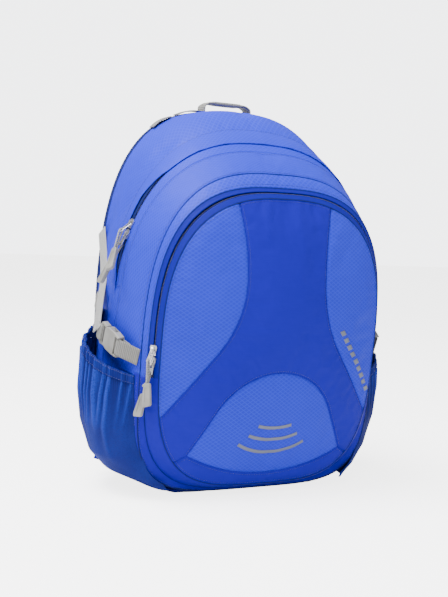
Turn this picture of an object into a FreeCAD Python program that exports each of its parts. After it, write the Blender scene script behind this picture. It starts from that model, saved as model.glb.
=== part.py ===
import FreeCAD, Part
import math
import os
import re
import Sketcher

# A 20 litre daypack. +Z up, the front towards -Y, the wearer's back at +Y, the origin on
# the floor under the middle of the bag. The sack is built from depth stations: outlines
# shaped like an egg with a flatter foot, one behind the other from the back to the front.

Vector = FreeCAD.Vector
doc = FreeCAD.newDocument("Daypack")

sizes = {
    # the sack's outlines: depth, lean, half width, top, widest height, foot, roundness
    "rearDepth": 84, "rearLean": -0.012, "rearHalf": 154, "rearTop": 439, "rearWide": 179,
    "rearFoot": 6, "rearRound": 2.9, "rearSquare": 4.5,
    "crownDepth": 46, "crownLean": -0.044, "crownHalf": 158.5, "crownTop": 438,
    "crownWide": 180, "crownFoot": 4.3, "crownRound": 2.45, "crownSquare": 4.5,
    "zipDepth": 12.8, "zipLean": -0.178, "zipHalf": 166, "zipTop": 396, "zipWide": 192,
    "zipFoot": 4.3, "zipRound": 2.5, "zipSquare": 4.6,
    "seamDepth": -49, "seamLean": -0.058, "seamHalf": 150, "seamTop": 365,
    "seamWide": 148, "seamFoot": 5, "seamRound": 2.86, "seamSquare": 4.3,
    "outerDepth": -57.7, "outerLean": -0.097, "outerHalf": 145.4, "outerTop": 349.5,
    "outerWide": 163, "outerFoot": 8, "outerRound": 2.99, "outerSquare": 3.6,
    "innerDepth": -70.5, "innerLean": -0.082, "innerHalf": 136.7, "innerTop": 338,
    "innerWide": 182, "innerFoot": 14, "innerRound": 2.6, "innerSquare": 3.4,
    "leanHeight": 200,
    # fabric
    "fabric": 2.0, "lining": 1.2, "domeBulge": 26, "domePower": 2.2,
    "panelGap": 0.2, "floorRound": 24, "floorLong": 200, "floorDeep": 96, "floorThick": 4,
    "floorMiddle": 22,
    # front panels
    "waistHalf": 49.5, "waistHeight": 250, "waistRadius": 136, "waistTurn": 37,
    "waistUpper": 365, "ovalTop": 146, "ovalRadius": 80, "ovalTurn": 62, "ovalCorner": 53,
    "ovalBelly": 205, "barThick": 4, "barStand": 0.5, "barRadius": 84,
    "barTop": 84.5, "barMiddle": 70.5, "barLow": 55, "barTopHalf": 21,
    "barMiddleHalf": 31, "barLowHalf": 42,
    # zips
    "tapeWidth": 13, "tapeThick": 1.6, "zipSplit": 1.4, "zipEnd": 232, "pocketZipEnd": 140,
    "flapFrom": 5.4, "flapTo": 19, "flapLift": 1.0, "flapThick": 1.2,
    "sliderLong": 11, "sliderWide": 8.4, "sliderPlate": 1.2, "sliderGap": 0.8,
    "sliderPost": 0.8, "sliderPostLong": 3.0, "bridgeWide": 2.2, "bridgeLong": 7,
    "bridgeHigh": 3.0, "bridgeBar": 0.9, "bridgeWall": 1.1, "sliderPitch": 12.6,
    "tabWide": 6, "tabThick": 1.2, "tabLong": 14.5, "tabWindowWide": 2.9,
    "tabWindow": 4.9, "tabHole": 1.9, "tabPin": 0.6, "tabEdge": 0.8,
    "cordDiameter": 2.2, "cordReach": 24, "cordTurn": 2.0, "cordPair": 1.35,
    "tipLong": 26, "tipTop": 7.2, "tipFoot": 10.4, "tipThick": 4.6, "tipSlant": 3.5,
    "mainUpperHeight": 302, "pocketUpperHeight": 170, "pullRest": 8, "upperRest": 32,
    "mainFan": 14, "mainHang": 12, "pocketFan": 9, "pocketHang": 0,
    # side compression straps and buckles, for 20 mm webbing
    "webbingWide": 20, "webbingThick": 1.2, "strapRearHeight": 212,
    "strapFrontHeight": 160, "yokeHeight": 292, "strapStand": 0.9,
    "buckleWide": 27, "buckleThick": 8.4, "femaleLong": 26, "cavityDeep": 17,
    "cavityWide": 21.6, "cavityHigh": 4.8, "windowFrom": 7, "windowTo": 16,
    "slotFrom": 19.4, "slotTo": 22.4, "endBarHalf": 1.7, "maleLong": 13,
    "maleThick": 6.4, "mouthGap": 0.4, "slotWide": 2.8, "tongueLong": 15,
    "tongueWide": 4.2, "tongueThick": 3.6, "prongLong": 14.6, "prongThick": 3.6,
    "prongArm": 2.4, "prongGap": 0.4, "prongBarb": 2.9, "bucklePlace": -2,
    # shoulder straps and the lower adjusters, for 25 mm webbing
    "strapWide": 62, "strapThick": 12, "strapTop": 404, "strapTopOut": 44,
    "strapArch": 122, "strapFoot": 118, "strapFootOut": 96, "lowerWide": 25,
    "lockWide": 32, "lockLong": 22, "lockThick": 4.4, "lockSlotWide": 26,
    "lockSlot": 3.6, "lockBar": 3.0, "lockGap": 2.0, "anchorHeight": 26, "anchorOut": 128,
    # back
    "padThick": 9, "padWide": 92, "padHigh": 250, "padOut": 60,
    "padFoot": 98, "padRound": 26, "lumbarWide": 172, "lumbarHigh": 58, "lumbarFoot": 24,
    # grab handle
    "handleHalf": 33, "handleRise": 11, "handleWide": 20, "handleThick": 4.0,
    "handleFoot": 3.0,
    # stretch side pockets
    "pocketOut": 191, "pocketMiddle": 20, "pocketHalfDeep": 68, "pocketCore": 112,
    "pocketWall": 2.0, "pocketGap": 0.4, "hemRear": 190, "hemFront": 136,
    "hemRearDepth": 84, "hemFrontDepth": -47, "hemTall": 13,
}

sheet = doc.addObject("Spreadsheet::Sheet", "dims")
for row, (alias, value) in enumerate(sizes.items(), start=1):
    sheet.set("A%d" % row, alias)
    sheet.set("B%d" % row, str(value))
    sheet.setAlias("B%d" % row, alias)
doc.recompute()


def dim(alias):
    return float(sheet.get(alias))


def bound(text):
    """The expression with each named size pointed at its spreadsheet cell."""
    return re.sub(r"[A-Za-z][A-Za-z0-9]*",
                  lambda m: "dims." + m.group(0) if m.group(0) in sizes else m.group(0), text)


# ---- sketches and features, sized by expressions ----

def originPlane(body, role):
    return next(f for f in body.Origin.OriginFeatures if f.Role == role)


def newBody(label):
    body = doc.addObject("PartDesign::Body", label)
    body.Label = label
    return body


def newSketch(body, role, rise=None):
    sketch = body.newObject("Sketcher::SketchObject", body.Name + "_sketch")
    sketch.AttachmentSupport = [(originPlane(body, role), "")]
    sketch.MapMode = "FlatFace"
    if rise:
        sketch.setExpression("AttachmentOffset.Base.z", bound(rise))
    return sketch


def pin(sketch, kind, geometry, point, text):
    index = sketch.addConstraint(Sketcher.Constraint(kind, -1, 1, geometry, point, 1.0))
    name = "c%d" % index
    sketch.renameConstraint(index, name)
    sketch.setExpression("Constraints." + name, bound(text))


def polygon(sketch, corners):
    """A closed outline whose corners are pairs of expressions."""
    first = sketch.GeometryCount
    count = len(corners)
    for n in range(count):
        a = 2 * math.pi * n / count
        b = 2 * math.pi * (n + 1) / count
        sketch.addGeometry(Part.LineSegment(Vector(9 * math.cos(a), 9 * math.sin(a), 0),
                                            Vector(9 * math.cos(b), 9 * math.sin(b), 0)))
    for n in range(count):
        sketch.addConstraint(Sketcher.Constraint("Coincident", first + n, 2,
                                                 first + (n + 1) % count, 1))
    for n, (across, along) in enumerate(corners):
        pin(sketch, "DistanceX", first + n, 1, across)
        pin(sketch, "DistanceY", first + n, 1, along)


def rectangle(sketch, left, right, low, high):
    polygon(sketch, [(left, low), (right, low), (right, high), (left, high)])


def circle(sketch, radius, across, along):
    index = sketch.addGeometry(Part.Circle(Vector(1, 1, 0), Vector(0, 0, 1), 2.0))
    number = sketch.addConstraint(Sketcher.Constraint("Radius", index, 2.0))
    sketch.renameConstraint(number, "r%d" % number)
    sketch.setExpression("Constraints.r%d" % number, bound(radius))
    pin(sketch, "DistanceX", index, 3, across)
    pin(sketch, "DistanceY", index, 3, along)


def pad(body, sketch, length, both=True):
    feature = body.newObject("PartDesign::Pad", body.Name + "_pad")
    feature.Profile = sketch
    feature.setExpression("Length", bound(length))
    feature.Midplane = both
    return feature


def pocket(body, sketch, length):
    doc.recompute()
    before = body.Shape.Volume
    feature = body.newObject("PartDesign::Pocket", body.Name + "_pocket")
    feature.Profile = sketch
    feature.setExpression("Length", bound(length))
    feature.Midplane = True
    doc.recompute()
    if body.Shape.Volume > before - 1e-3:
        raise RuntimeError(body.Label + ": a pocket cut nothing")
    return feature


def rounded(body, radius, wanted):
    """Fillets every edge of the body's tip that the test accepts."""
    doc.recompute()
    tip = body.Tip
    names = ["Edge%d" % (n + 1) for n, edge in enumerate(tip.Shape.Edges) if wanted(edge)]
    if not names:
        raise RuntimeError(body.Label + ": no edge to round")
    feature = body.newObject("PartDesign::Fillet", body.Name + "_fillet")
    feature.Base = (tip, names)
    feature.Radius = radius
    doc.recompute()
    if not feature.Shape.isValid() or "Invalid" in feature.State:
        raise RuntimeError(body.Label + ": the fillet failed")
    return feature


def edgeAlong(direction, test=lambda middle: True):
    def wanted(edge):
        if len(edge.Vertexes) != 2:
            return False
        run = edge.Vertexes[1].Point - edge.Vertexes[0].Point
        if run.Length < 1e-6 or abs(run.normalize().dot(direction)) < 0.999:
            return False
        return test(edge.CenterOfMass)
    return wanted


def soft(label, shape, place=None):
    item = doc.addObject("Part::Feature", label)
    item.Shape = shape
    item.Label = label
    item.Placement = place or shape.Placement
    return item


def placedBy(origin, across, along, out):
    """The placement whose local X, Y, Z are across, along and out."""
    m = FreeCAD.Matrix(across.x, along.x, out.x, origin.x,
                       across.y, along.y, out.y, origin.y,
                       across.z, along.z, out.z, origin.z, 0, 0, 0, 1)
    return FreeCAD.Placement(m)


# ---- the sack's outlines ----

class Station:
    def __init__(self, depth, lean, half, top, wide, foot, roundness, square):
        self.depth, self.lean, self.half, self.top = depth, lean, half, top
        self.wide, self.foot, self.roundness, self.square = wide, foot, roundness, square

    def values(self):
        return (self.depth, self.lean, self.half, self.top, self.wide, self.foot,
                self.roundness, self.square)

    def depthAt(self, height):
        return self.depth + self.lean * (height - dim("leanHeight"))

    def halfAt(self, height):
        if height >= self.wide:
            share, power = (height - self.wide) / (self.top - self.wide), self.roundness
        else:
            share, power = (self.wide - height) / (self.wide - self.foot), self.square
        return self.half * max(0.0, 1 - share ** power) ** (1 / power)

    def point(self, height, side):
        return Vector(side * self.halfAt(height), self.depthAt(height), height)

    def wire(self, grow=0.0, scale=1.0, shift=0.0, count=44):
        points = []
        for n in range(count):
            turn = 2 * math.pi * n / count
            c, s = math.cos(turn), math.sin(turn)
            power = self.roundness if s >= 0 else self.square
            tall = self.top - self.wide if s >= 0 else self.wide - self.foot
            x = (self.half + grow) * scale * math.copysign(abs(c) ** (2 / power), c)
            z = self.wide + (tall + grow) * scale * math.copysign(abs(s) ** (2 / power), s)
            points.append(Vector(x, self.depthAt(z) + shift, z))
        curve = Part.BSplineCurve()
        curve.interpolate(Points=points, PeriodicFlag=True)
        return Part.Wire([curve.toShape()])


def station(name):
    return Station(*[dim(name + part) for part in
                     ("Depth", "Lean", "Half", "Top", "Wide", "Foot", "Round", "Square")])


def between(a, b, share):
    return Station(*[p + share * (q - p) for p, q in zip(a.values(), b.values())])


def beyond(a, b, extra):
    """The outline a little further out than b, on the line from a to b."""
    return between(a, b, 1 + extra / abs(b.depth - a.depth))


def towards(a, b, distance):
    """The outline at a distance from a towards b, measured on the skin at mid height."""
    run = math.hypot(b.depth - a.depth, b.half - a.half)
    return between(a, b, distance / run)


def band(stations, thickness, lift=0.0):
    """A closed ring of fabric through the outlines, as one shell."""
    wide = [beyond(stations[1], stations[0], 1.0)] + stations[1:-1]
    wide.append(beyond(stations[-2], stations[-1], 1.0))
    outer = Part.makeLoft([each.wire(lift) for each in stations], True, True)
    inner = Part.makeLoft([each.wire(lift - thickness) for each in wide], True, True)
    return outer.cut(inner)


def above(height):
    return Part.makeBox(800, 800, 800, Vector(-400, -400, height))


def below(height):
    return Part.makeBox(800, 800, 800, Vector(-400, -400, height - 800))


def one(shape):
    """The shape's single solid."""
    solids = sorted(shape.Solids, key=lambda s: -s.Volume)
    return solids[0]


rear, crown, zipMain = station("rear"), station("crown"), station("zip")
seam, outer, inner = station("seam"), station("outer"), station("inner")
fabric = dim("fabric")
tapeRear = towards(zipMain, crown, dim("tapeWidth"))
tapeFront = towards(zipMain, seam, dim("tapeWidth"))
zipLine = between(tapeRear, tapeFront, 0.5)
splitRear = towards(zipLine, tapeRear, dim("zipSplit"))
splitFront = towards(zipLine, tapeFront, dim("zipSplit"))
pocketZip = between(outer, inner, 0.5)
splitOuter = towards(pocketZip, outer, dim("zipSplit"))
splitInner = towards(pocketZip, inner, dim("zipSplit"))

# ---- sack: rings of fabric, a back panel and a divider ----

soft("rear_gusset", one(band([rear, crown, tapeRear], fabric)))

zipOpening = Part.makeLoft([tapeRear.wire(30), tapeFront.wire(30)], True, True)
zipOpening = zipOpening.common(above(dim("zipEnd")))
soft("front_gusset", one(band([tapeRear, tapeFront, seam], fabric).cut(zipOpening)))
soft("main_zip_tape_rear",
     one(band([tapeRear, splitRear], dim("tapeThick")).common(above(dim("zipEnd")))))
soft("main_zip_tape_front",
     one(band([splitFront, tapeFront], dim("tapeThick")).common(above(dim("zipEnd")))))

flapFrom = towards(zipLine, tapeRear, dim("flapFrom"))
flapTo = towards(zipLine, tapeRear, dim("flapTo"))
flapRing = band([flapFrom, flapTo], dim("flapThick"), dim("flapLift") + dim("flapThick"))
soft("main_zip_flap", one(flapRing.common(above(dim("zipEnd") - 12))))

floorPlate = Part.makeBox(dim("floorLong"), dim("floorDeep"), dim("floorThick"),
                          Vector(-dim("floorLong") / 2,
                                 dim("floorMiddle") - dim("floorDeep") / 2, 0))
corners = edgeAlong(Vector(0, 0, 1))
floorPlate = floorPlate.makeFillet(dim("floorRound"), [e for e in floorPlate.Edges if corners(e)])
soft("bottom_panel", floorPlate)

soft("pocket_gusset_upper", one(band([seam, outer], fabric).common(above(dim("pocketZipEnd")))))
soft("pocket_gusset_lower",
     one(band([seam, outer, inner], fabric).common(below(dim("pocketZipEnd")))))
soft("pocket_zip_tape_outer",
     one(band([outer, splitOuter], dim("tapeThick")).common(above(dim("pocketZipEnd")))))
soft("pocket_zip_tape_inner",
     one(band([splitInner, inner], dim("tapeThick")).common(above(dim("pocketZipEnd")))))


def plate(at, thickness, grow=0.0):
    face = Part.Face(at.wire(grow))
    normal = Vector(0, 1, -at.lean).normalize()
    return face.extrude(normal * thickness)


soft("back_panel", plate(rear, fabric + 1.0))
soft("divider_panel", plate(seam, dim("lining"), -fabric - 0.6))

# ---- front panels: one dome, cut along the seams ----

domeScales = (1.0, 0.93, 0.8, 0.62, 0.42, 0.2, 0.06)


def domeBody(grow, shift):
    wires = []
    for scale in domeScales:
        rise = dim("domeBulge") * (1 - scale ** dim("domePower"))
        wires.append(inner.wire(grow, scale, shift - rise))
    return Part.makeLoft(wires, True, False)


backing = Part.makeLoft([inner.wire(-fabric, 1.0, 6.0), inner.wire(-fabric, 1.0, fabric - 0.5)],
                        True, True)
domeShell = domeBody(0.0, 0.0).cut(domeBody(-fabric, fabric).fuse(backing))


def prism(edges, deep=140):
    face = Part.Face(Part.Wire(edges))
    return face.extrude(Vector(0, -deep, 0))


def at(x, z):
    return Vector(x, 0, z)


def segment(a, b):
    return Part.makeLine(a, b)


def arc(a, b, c):
    return Part.Arc(a, b, c).toShape()


def waistEdge(side, grow):
    """The hourglass's side: a shallow arc, a tighter arc and a straight leg."""
    half, mid, radius = dim("waistHalf") + grow, dim("waistHeight"), dim("waistRadius")
    turn = math.radians(dim("waistTurn"))
    upper = dim("waistUpper")
    flare = 0.00137
    top = at(side * (half + flare * (upper - mid) ** 2), upper)
    quarter = at(side * (half + flare * (0.5 * (upper - mid)) ** 2), mid + 0.5 * (upper - mid))
    waist = at(side * half, mid)
    knee = at(side * (half + radius * (1 - math.cos(turn))), mid - radius * math.sin(turn))
    bend = at(side * (half + radius * (1 - math.cos(turn / 2))),
              mid - radius * math.sin(turn / 2))
    leg = 150.0
    foot = at(knee.x + side * leg * math.sin(turn), knee.z - leg * math.cos(turn))
    return [arc(top, quarter, waist), arc(waist, bend, knee), segment(knee, foot)], top, foot


def sideRegion(side, grow):
    edges, top, foot = waistEdge(side, grow)
    far = side * 220
    ring = [segment(at(far, foot.z), at(far, top.z)), segment(at(far, top.z), top)]
    return prism(ring + edges + [segment(foot, at(far, foot.z))])


def ovalCorners(grow):
    radius, turn = dim("ovalRadius") + grow, math.radians(dim("ovalTurn"))
    centre = dim("ovalTop") - dim("ovalRadius")
    shoulder = at(radius * math.sin(turn), centre + radius * math.cos(turn))
    drop = shoulder.z - dim("ovalCorner")
    corner = at(shoulder.x + drop / math.tan(turn), dim("ovalCorner"))
    return radius, centre, shoulder, corner


def ovalRegion(grow):
    radius, centre, shoulder, corner = ovalCorners(grow)
    sag = dim("ovalBelly") - math.sqrt(dim("ovalBelly") ** 2 - corner.x ** 2)
    left, leftCorner = at(-shoulder.x, shoulder.z), at(-corner.x, corner.z)
    return prism([arc(left, at(0, centre + radius), shoulder), segment(shoulder, corner),
                  arc(corner, at(0, corner.z - sag - grow), leftCorner),
                  segment(leftCorner, left)])


def baseRegion(grow):
    """Below the oval's belly and the two short seams that run on to the corners."""
    radius, centre, shoulder, corner = ovalCorners(0)
    sag = dim("ovalBelly") - math.sqrt(dim("ovalBelly") ** 2 - corner.x ** 2)
    lift = -grow
    leftCorner = at(-corner.x, corner.z + lift)
    right = at(corner.x, corner.z + lift)
    far, low = 215, -40
    rise = -70
    return prism([arc(leftCorner, at(0, corner.z - sag + lift), right),
                  segment(right, at(far, corner.z + rise + lift)),
                  segment(at(far, corner.z + rise + lift), at(far, low)),
                  segment(at(far, low), at(-far, low)),
                  segment(at(-far, low), at(-far, corner.z + rise + lift)),
                  segment(at(-far, corner.z + rise + lift), leftCorner)])


gap = dim("panelGap")
leftRegion, rightRegion = sideRegion(-1, gap / 2), sideRegion(1, gap / 2)
oval, base = ovalRegion(-gap / 2), baseRegion(gap / 2)
soft("panel_left", one(domeShell.common(leftRegion).cut(baseRegion(-gap / 2))))
soft("panel_right", one(domeShell.common(rightRegion).cut(baseRegion(-gap / 2))))
soft("panel_oval", one(domeShell.common(oval)))
soft("panel_base", one(domeShell.common(base)))
soft("panel_hourglass", one(domeShell.cut(sideRegion(-1, -gap / 2)).cut(sideRegion(1, -gap / 2))
                            .cut(ovalRegion(gap / 2)).cut(baseRegion(-gap / 2))))

# printed bars: three smile-shaped strips that stand a little proud of the oval
barShell = domeBody(0.0, -dim("barStand")).cut(domeBody(0.0, -0.02))


def barRegion(height, half):
    radius, thick = dim("barRadius"), dim("barThick")
    turn = math.asin(half / radius)
    edges = []
    for r in (radius, radius - thick):
        ends = [at(s * r * math.sin(turn), height + radius - r * math.cos(turn)) for s in (-1, 1)]
        edges.append((ends[0], at(0, height + radius - r), ends[1]))
    (a, m, b), (c, n, e) = edges
    return prism([arc(a, m, b), segment(b, e), arc(e, n, c), segment(c, a)])


bars = [one(barShell.common(barRegion(dim(name) - dim("barThick") / 2, dim(name + "Half"))))
        for name in ("barTop", "barMiddle", "barLow")]
soft("printed_bars", Part.makeCompound(bars))

# ---- zip sliders and pulls ----


class Track:
    """The arc that a slider follows on one side of the bag, and the skin's slant on it."""

    def __init__(self, line, behind, ahead, heights, side=-1):
        self.line, self.behind, self.ahead, self.side = line, behind, ahead, side
        points = [line.point(z, side) for z in heights]
        curve = Part.Arc(*points).toShape().Curve
        self.centre, self.radius = curve.Center, curve.Radius
        self.axis = Vector(0, 1, -line.lean).normalize()

    def frame(self, height):
        point = self.line.point(height, self.side)
        outward = (point - self.centre).normalize()
        up = self.axis.cross(outward).normalize()
        if up.z < 0:
            up = up * -1
        slant = self.ahead.point(height, self.side) - self.behind.point(height, self.side)
        across = (slant - up * slant.dot(up)).normalize()
        out = across.cross(up)
        return point - out * dim("tapeThick") / 2, across, up, out

    def lower(self, height, distance):
        """The height one step further down the arc."""
        return height - distance * self.frame(height)[2].z


def sliderBody(label, place):
    body = newBody(label)
    top = "tapeThick / 2 + sliderGap"
    profile = [("-sliderWide / 2", "sliderLong / 2 - 2"), ("-sliderWide / 2 + 1", "sliderLong / 2"),
               ("sliderWide / 2 - 1", "sliderLong / 2"), ("sliderWide / 2", "sliderLong / 2 - 2"),
               ("sliderWide / 2 - 1.1", "-sliderLong / 2"),
               ("-sliderWide / 2 + 1.1", "-sliderLong / 2")]
    for rise in (top + " + sliderPlate / 2", "-(" + top + " + sliderPlate / 2)"):
        sketch = newSketch(body, "XY_Plane", rise)
        polygon(sketch, profile)
        if rise[0] == "-":
            post = newSketch(body, "XY_Plane")
            rectangle(post, "-sliderPost / 2", "sliderPost / 2",
                      "sliderLong / 2 - sliderPostLong - 1", "sliderLong / 2 - 1")
            pad(body, post, "2 * (" + top + ") + sliderPlate")
        pad(body, sketch, "sliderPlate")
    bridge = newSketch(body, "YZ_Plane")
    floor = "(" + top + " + sliderPlate)"
    polygon(bridge, [("-bridgeLong / 2", floor + " - 0.3"), ("bridgeLong / 2", floor + " - 0.3"),
                     ("bridgeLong / 2", floor + " + bridgeHigh - 1"),
                     ("bridgeLong / 2 - 1", floor + " + bridgeHigh"),
                     ("-bridgeLong / 2 + 1", floor + " + bridgeHigh"),
                     ("-bridgeLong / 2", floor + " + bridgeHigh - 1")])
    pad(body, bridge, "bridgeWide")
    window = newSketch(body, "YZ_Plane")
    rectangle(window, "-bridgeLong / 2 + bridgeWall", "bridgeLong / 2 - bridgeWall",
              floor, floor + " + bridgeHigh - bridgeBar")
    pocket(body, window, "bridgeWide * 2")
    rounded(body, 0.35, edgeAlong(Vector(0, 1, 0), lambda m: m.z > 4.5))
    body.Placement = place
    return body


def pinRise():
    return (dim("tapeThick") / 2 + dim("sliderGap") + dim("sliderPlate") + 0.35
            + dim("tabPin"))


def tabBody(label, place):
    """A flat link: a window round the slider's bridge, a hole for the cord."""
    body = newBody(label)
    sketch = newSketch(body, "XY_Plane")
    polygon(sketch, [("-tabWide / 2 + 1", "tabPin"), ("-tabWide / 2", "tabPin - 1"),
                     ("-tabWide / 2", "-tabLong + 2.2"), ("-tabWide / 2 + 1.6", "-tabLong + tabPin"),
                     ("tabWide / 2 - 1.6", "-tabLong + tabPin"), ("tabWide / 2", "-tabLong + 2.2"),
                     ("tabWide / 2", "tabPin - 1"), ("tabWide / 2 - 1", "tabPin")])
    pad(body, sketch, "tabThick")
    cut = newSketch(body, "XY_Plane")
    rectangle(cut, "-tabWindowWide / 2", "tabWindowWide / 2", "-tabPin - tabWindow", "-tabPin")
    pocket(body, cut, "tabThick * 3")
    hole = newSketch(body, "XY_Plane")
    circle(hole, "tabHole", "0", "-tabLong + tabPin + tabEdge + tabHole")
    pocket(body, hole, "tabThick * 3")
    edges = edgeAlong(Vector(0, 1, 0), lambda m: abs(m.x) > dim("tabWide") / 2 - 0.1)
    rounded(body, 0.4, edges)
    rounded(body, dim("tabPin") * 0.95,
            edgeAlong(Vector(1, 0, 0), lambda m: abs(m.y - dim("tabPin")) < 0.01))
    body.Placement = place
    return body


def holeDrop():
    return dim("tabLong") - dim("tabPin") - dim("tabEdge") - dim("tabHole")


def tipBody(label, place):
    """A moulded flare with a slanted foot."""
    body = newBody(label)
    sketch = newSketch(body, "XY_Plane")
    polygon(sketch, [("-tipTop / 2 + 1", "0"), ("-tipTop / 2", "-1.4"),
                     ("-tipFoot / 2", "-tipLong + tipSlant"), ("-tipFoot / 2 + 1.4", "-tipLong"),
                     ("tipFoot / 2 - 1", "-tipLong + tipSlant - 1.6"),
                     ("tipFoot / 2", "-tipLong + tipSlant"),
                     ("tipTop / 2", "-1.4"), ("tipTop / 2 - 1", "0")])
    pad(body, sketch, "tipThick")
    sunk = newSketch(body, "XY_Plane", "tipThick / 2")
    rectangle(sunk, "-1.7", "1.7", "-tipLong + tipSlant + 2.5", "-5")
    pocket(body, sunk, "1.0")
    rounded(body, 0.9, lambda e: abs(abs(e.CenterOfMass.z) - dim("tipThick") / 2) < 0.01
            and abs(e.CenterOfMass.x) > 1.75 and e.Length > 1.2)
    body.Placement = place
    return body


def filletedPath(points, radii):
    """Straight runs joined by tangent arcs."""
    edges, start = [], points[0]
    for n in range(1, len(points) - 1):
        a, b, c = points[n - 1], points[n], points[n + 1]
        back, on = (a - b).normalize(), (c - b).normalize()
        turn = math.pi - back.getAngle(on)
        if turn < 1e-6:
            continue
        reach = radii[n - 1] * math.tan(turn / 2)
        p, q = b + back * reach, b + on * reach
        bis = (back + on).normalize()
        mid = b + bis * (radii[n - 1] / math.cos(turn / 2) - radii[n - 1])
        edges.append(Part.makeLine(start, p))
        edges.append(Part.Arc(p, mid, q).toShape())
        start = q
    edges.append(Part.makeLine(start, points[-1]))
    return edges


def cordLoop(label, place, bend):
    """A doubled cord: up from the tip, through the tab's hole and back down.

    The pair bends back towards the bag by the given angle just below the hole.
    """
    turn, pair, hole = dim("cordTurn"), dim("cordPair"), holeDrop()
    reach = dim("cordReach")

    def strand(side):
        """One strand from the hole down, its offsets square to the bent middle line."""
        low = Vector(0, -math.cos(bend), -math.sin(bend))
        square = Vector(0, -math.sin(bend), math.cos(bend))
        knee = Vector(0, -hole - 3.4, 0)
        half = Vector(0, -math.sin(bend / 2), math.cos(bend / 2))
        rest = reach - 3.4
        return [Vector(0, -hole, side * turn), knee + half * (side * turn / math.cos(bend / 2)),
                knee + low * (0.5 * rest) + square * (side * 0.5 * (turn + pair)),
                knee + low * rest + square * (side * pair)]
    front, back = strand(1), strand(-1)
    runs = front[::-1] + back
    radii = [40.0, 5.0, turn * 0.999, turn * 0.999, 5.0, 40.0]
    edges = filletedPath(runs, radii)
    path = Part.Wire(edges)
    radius = dim("cordDiameter") / 2
    start = (runs[1] - runs[0]).normalize()
    section = Part.Wire([Part.makeCircle(radius, runs[0], start)])
    tube = path.makePipeShell([section], True, False)
    expected = math.pi * radius ** 2 * path.Length
    print("%s length %.1f mm, radii %s, volume ratio %.4f" % (
        label, path.Length, [round(r, 2) for r in radii], tube.Volume / expected))
    soft(label, tube, place)
    middle = (front[-1] + back[-1]) * 0.5
    return place.multiply(FreeCAD.Placement(middle, FreeCAD.Rotation(
        Vector(1, 0, 0), math.degrees(bend))))


def pullSet(track, upperHeight, names, fan, hang):
    """Two sliders one above the other, with tabs, and cords and tips fanned apart.

    The angle hang turns both pulls from the zip's own line towards the vertical.
    """
    lowerHeight = track.lower(upperHeight, dim("sliderPitch"))
    places = {}
    rests = (dim("upperRest"), dim("pullRest"))
    fans = (hang + fan, hang - fan)
    for name, height, rest, spread in zip(names, (upperHeight, lowerHeight), rests, fans):
        point, across, up, out = track.frame(height)
        sliderBody("slider_" + name, placedBy(point, across, up, out))
        hinge = point + out * pinRise() - up * 0.6
        swing = FreeCAD.Rotation(across, -rest)
        frame = placedBy(hinge, across, swing.multVec(up), swing.multVec(out))
        tabBody("pull_tab_" + name, frame)
        hole = FreeCAD.Placement(Vector(0, -holeDrop(), 0), FreeCAD.Rotation())
        lean = FreeCAD.Placement(Vector(0, 0, 0), FreeCAD.Rotation(Vector(0, 0, 1), spread))
        fanned = frame.multiply(hole).multiply(lean).multiply(hole.inverse())
        bend = math.radians(rest - dim("pullRest"))
        tipBody("pull_tip_" + name, cordLoop("pull_cord_" + name, fanned, bend))
        places[name] = (hinge, across, point)
    return places


mainTrack = Track(zipLine, tapeRear, tapeFront, (262, 290, 332))
pocketTrack = Track(pocketZip, outer, inner, (145, 165, 200))
pulls = pullSet(mainTrack, dim("mainUpperHeight"), ("main_upper", "main_lower"),
                dim("mainFan"), dim("mainHang"))
pulls.update(pullSet(pocketTrack, dim("pocketUpperHeight"), ("pocket_upper", "pocket_lower"),
                     dim("pocketFan"), dim("pocketHang")))

# ---- side compression straps with side-release buckles ----


def femaleBody(label, place):
    """Local X runs along the strap to the front, Y across it, Z outwards."""
    body = newBody(label)
    sketch = newSketch(body, "XY_Plane")
    polygon(sketch, [("0", "-buckleWide / 2 + 1.5"), ("0", "buckleWide / 2 - 1.5"),
                     ("4", "buckleWide / 2"), ("cavityDeep", "buckleWide / 2"),
                     ("femaleLong", "buckleWide / 2 - 1.2"),
                     ("femaleLong", "-buckleWide / 2 + 1.2"), ("cavityDeep", "-buckleWide / 2"),
                     ("4", "-buckleWide / 2")])
    pad(body, sketch, "buckleThick")
    rounded(body, 1.4, lambda e: abs(abs(e.CenterOfMass.z) - dim("buckleThick") / 2) < 0.01
            and abs(e.CenterOfMass.y) > 11)
    cavity = newSketch(body, "XY_Plane")
    rectangle(cavity, "-1", "cavityDeep", "-cavityWide / 2", "cavityWide / 2")
    pocket(body, cavity, "cavityHigh")
    windows = newSketch(body, "XY_Plane")
    for side in ("-", ""):
        rectangle(windows, "windowFrom", "windowTo",
                  "cavityWide / 2 - 1" if not side else "-buckleWide / 2 - 1",
                  "buckleWide / 2 + 1" if not side else "-cavityWide / 2 + 1")
    pocket(body, windows, "cavityHigh")
    slot = newSketch(body, "XY_Plane")
    rectangle(slot, "slotFrom", "slotTo", "-webbingWide / 2 - 0.4", "webbingWide / 2 + 0.4")
    pocket(body, slot, "buckleThick * 2")
    for sign in ("", "-"):
        flat = newSketch(body, "XY_Plane", sign + "(endBarHalf + 2)")
        rectangle(flat, "slotTo - 0.2", "femaleLong + 1", "-webbingWide / 2 - 0.4",
                  "webbingWide / 2 + 0.4")
        pocket(body, flat, "4")
    body.Placement = place
    return body


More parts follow.
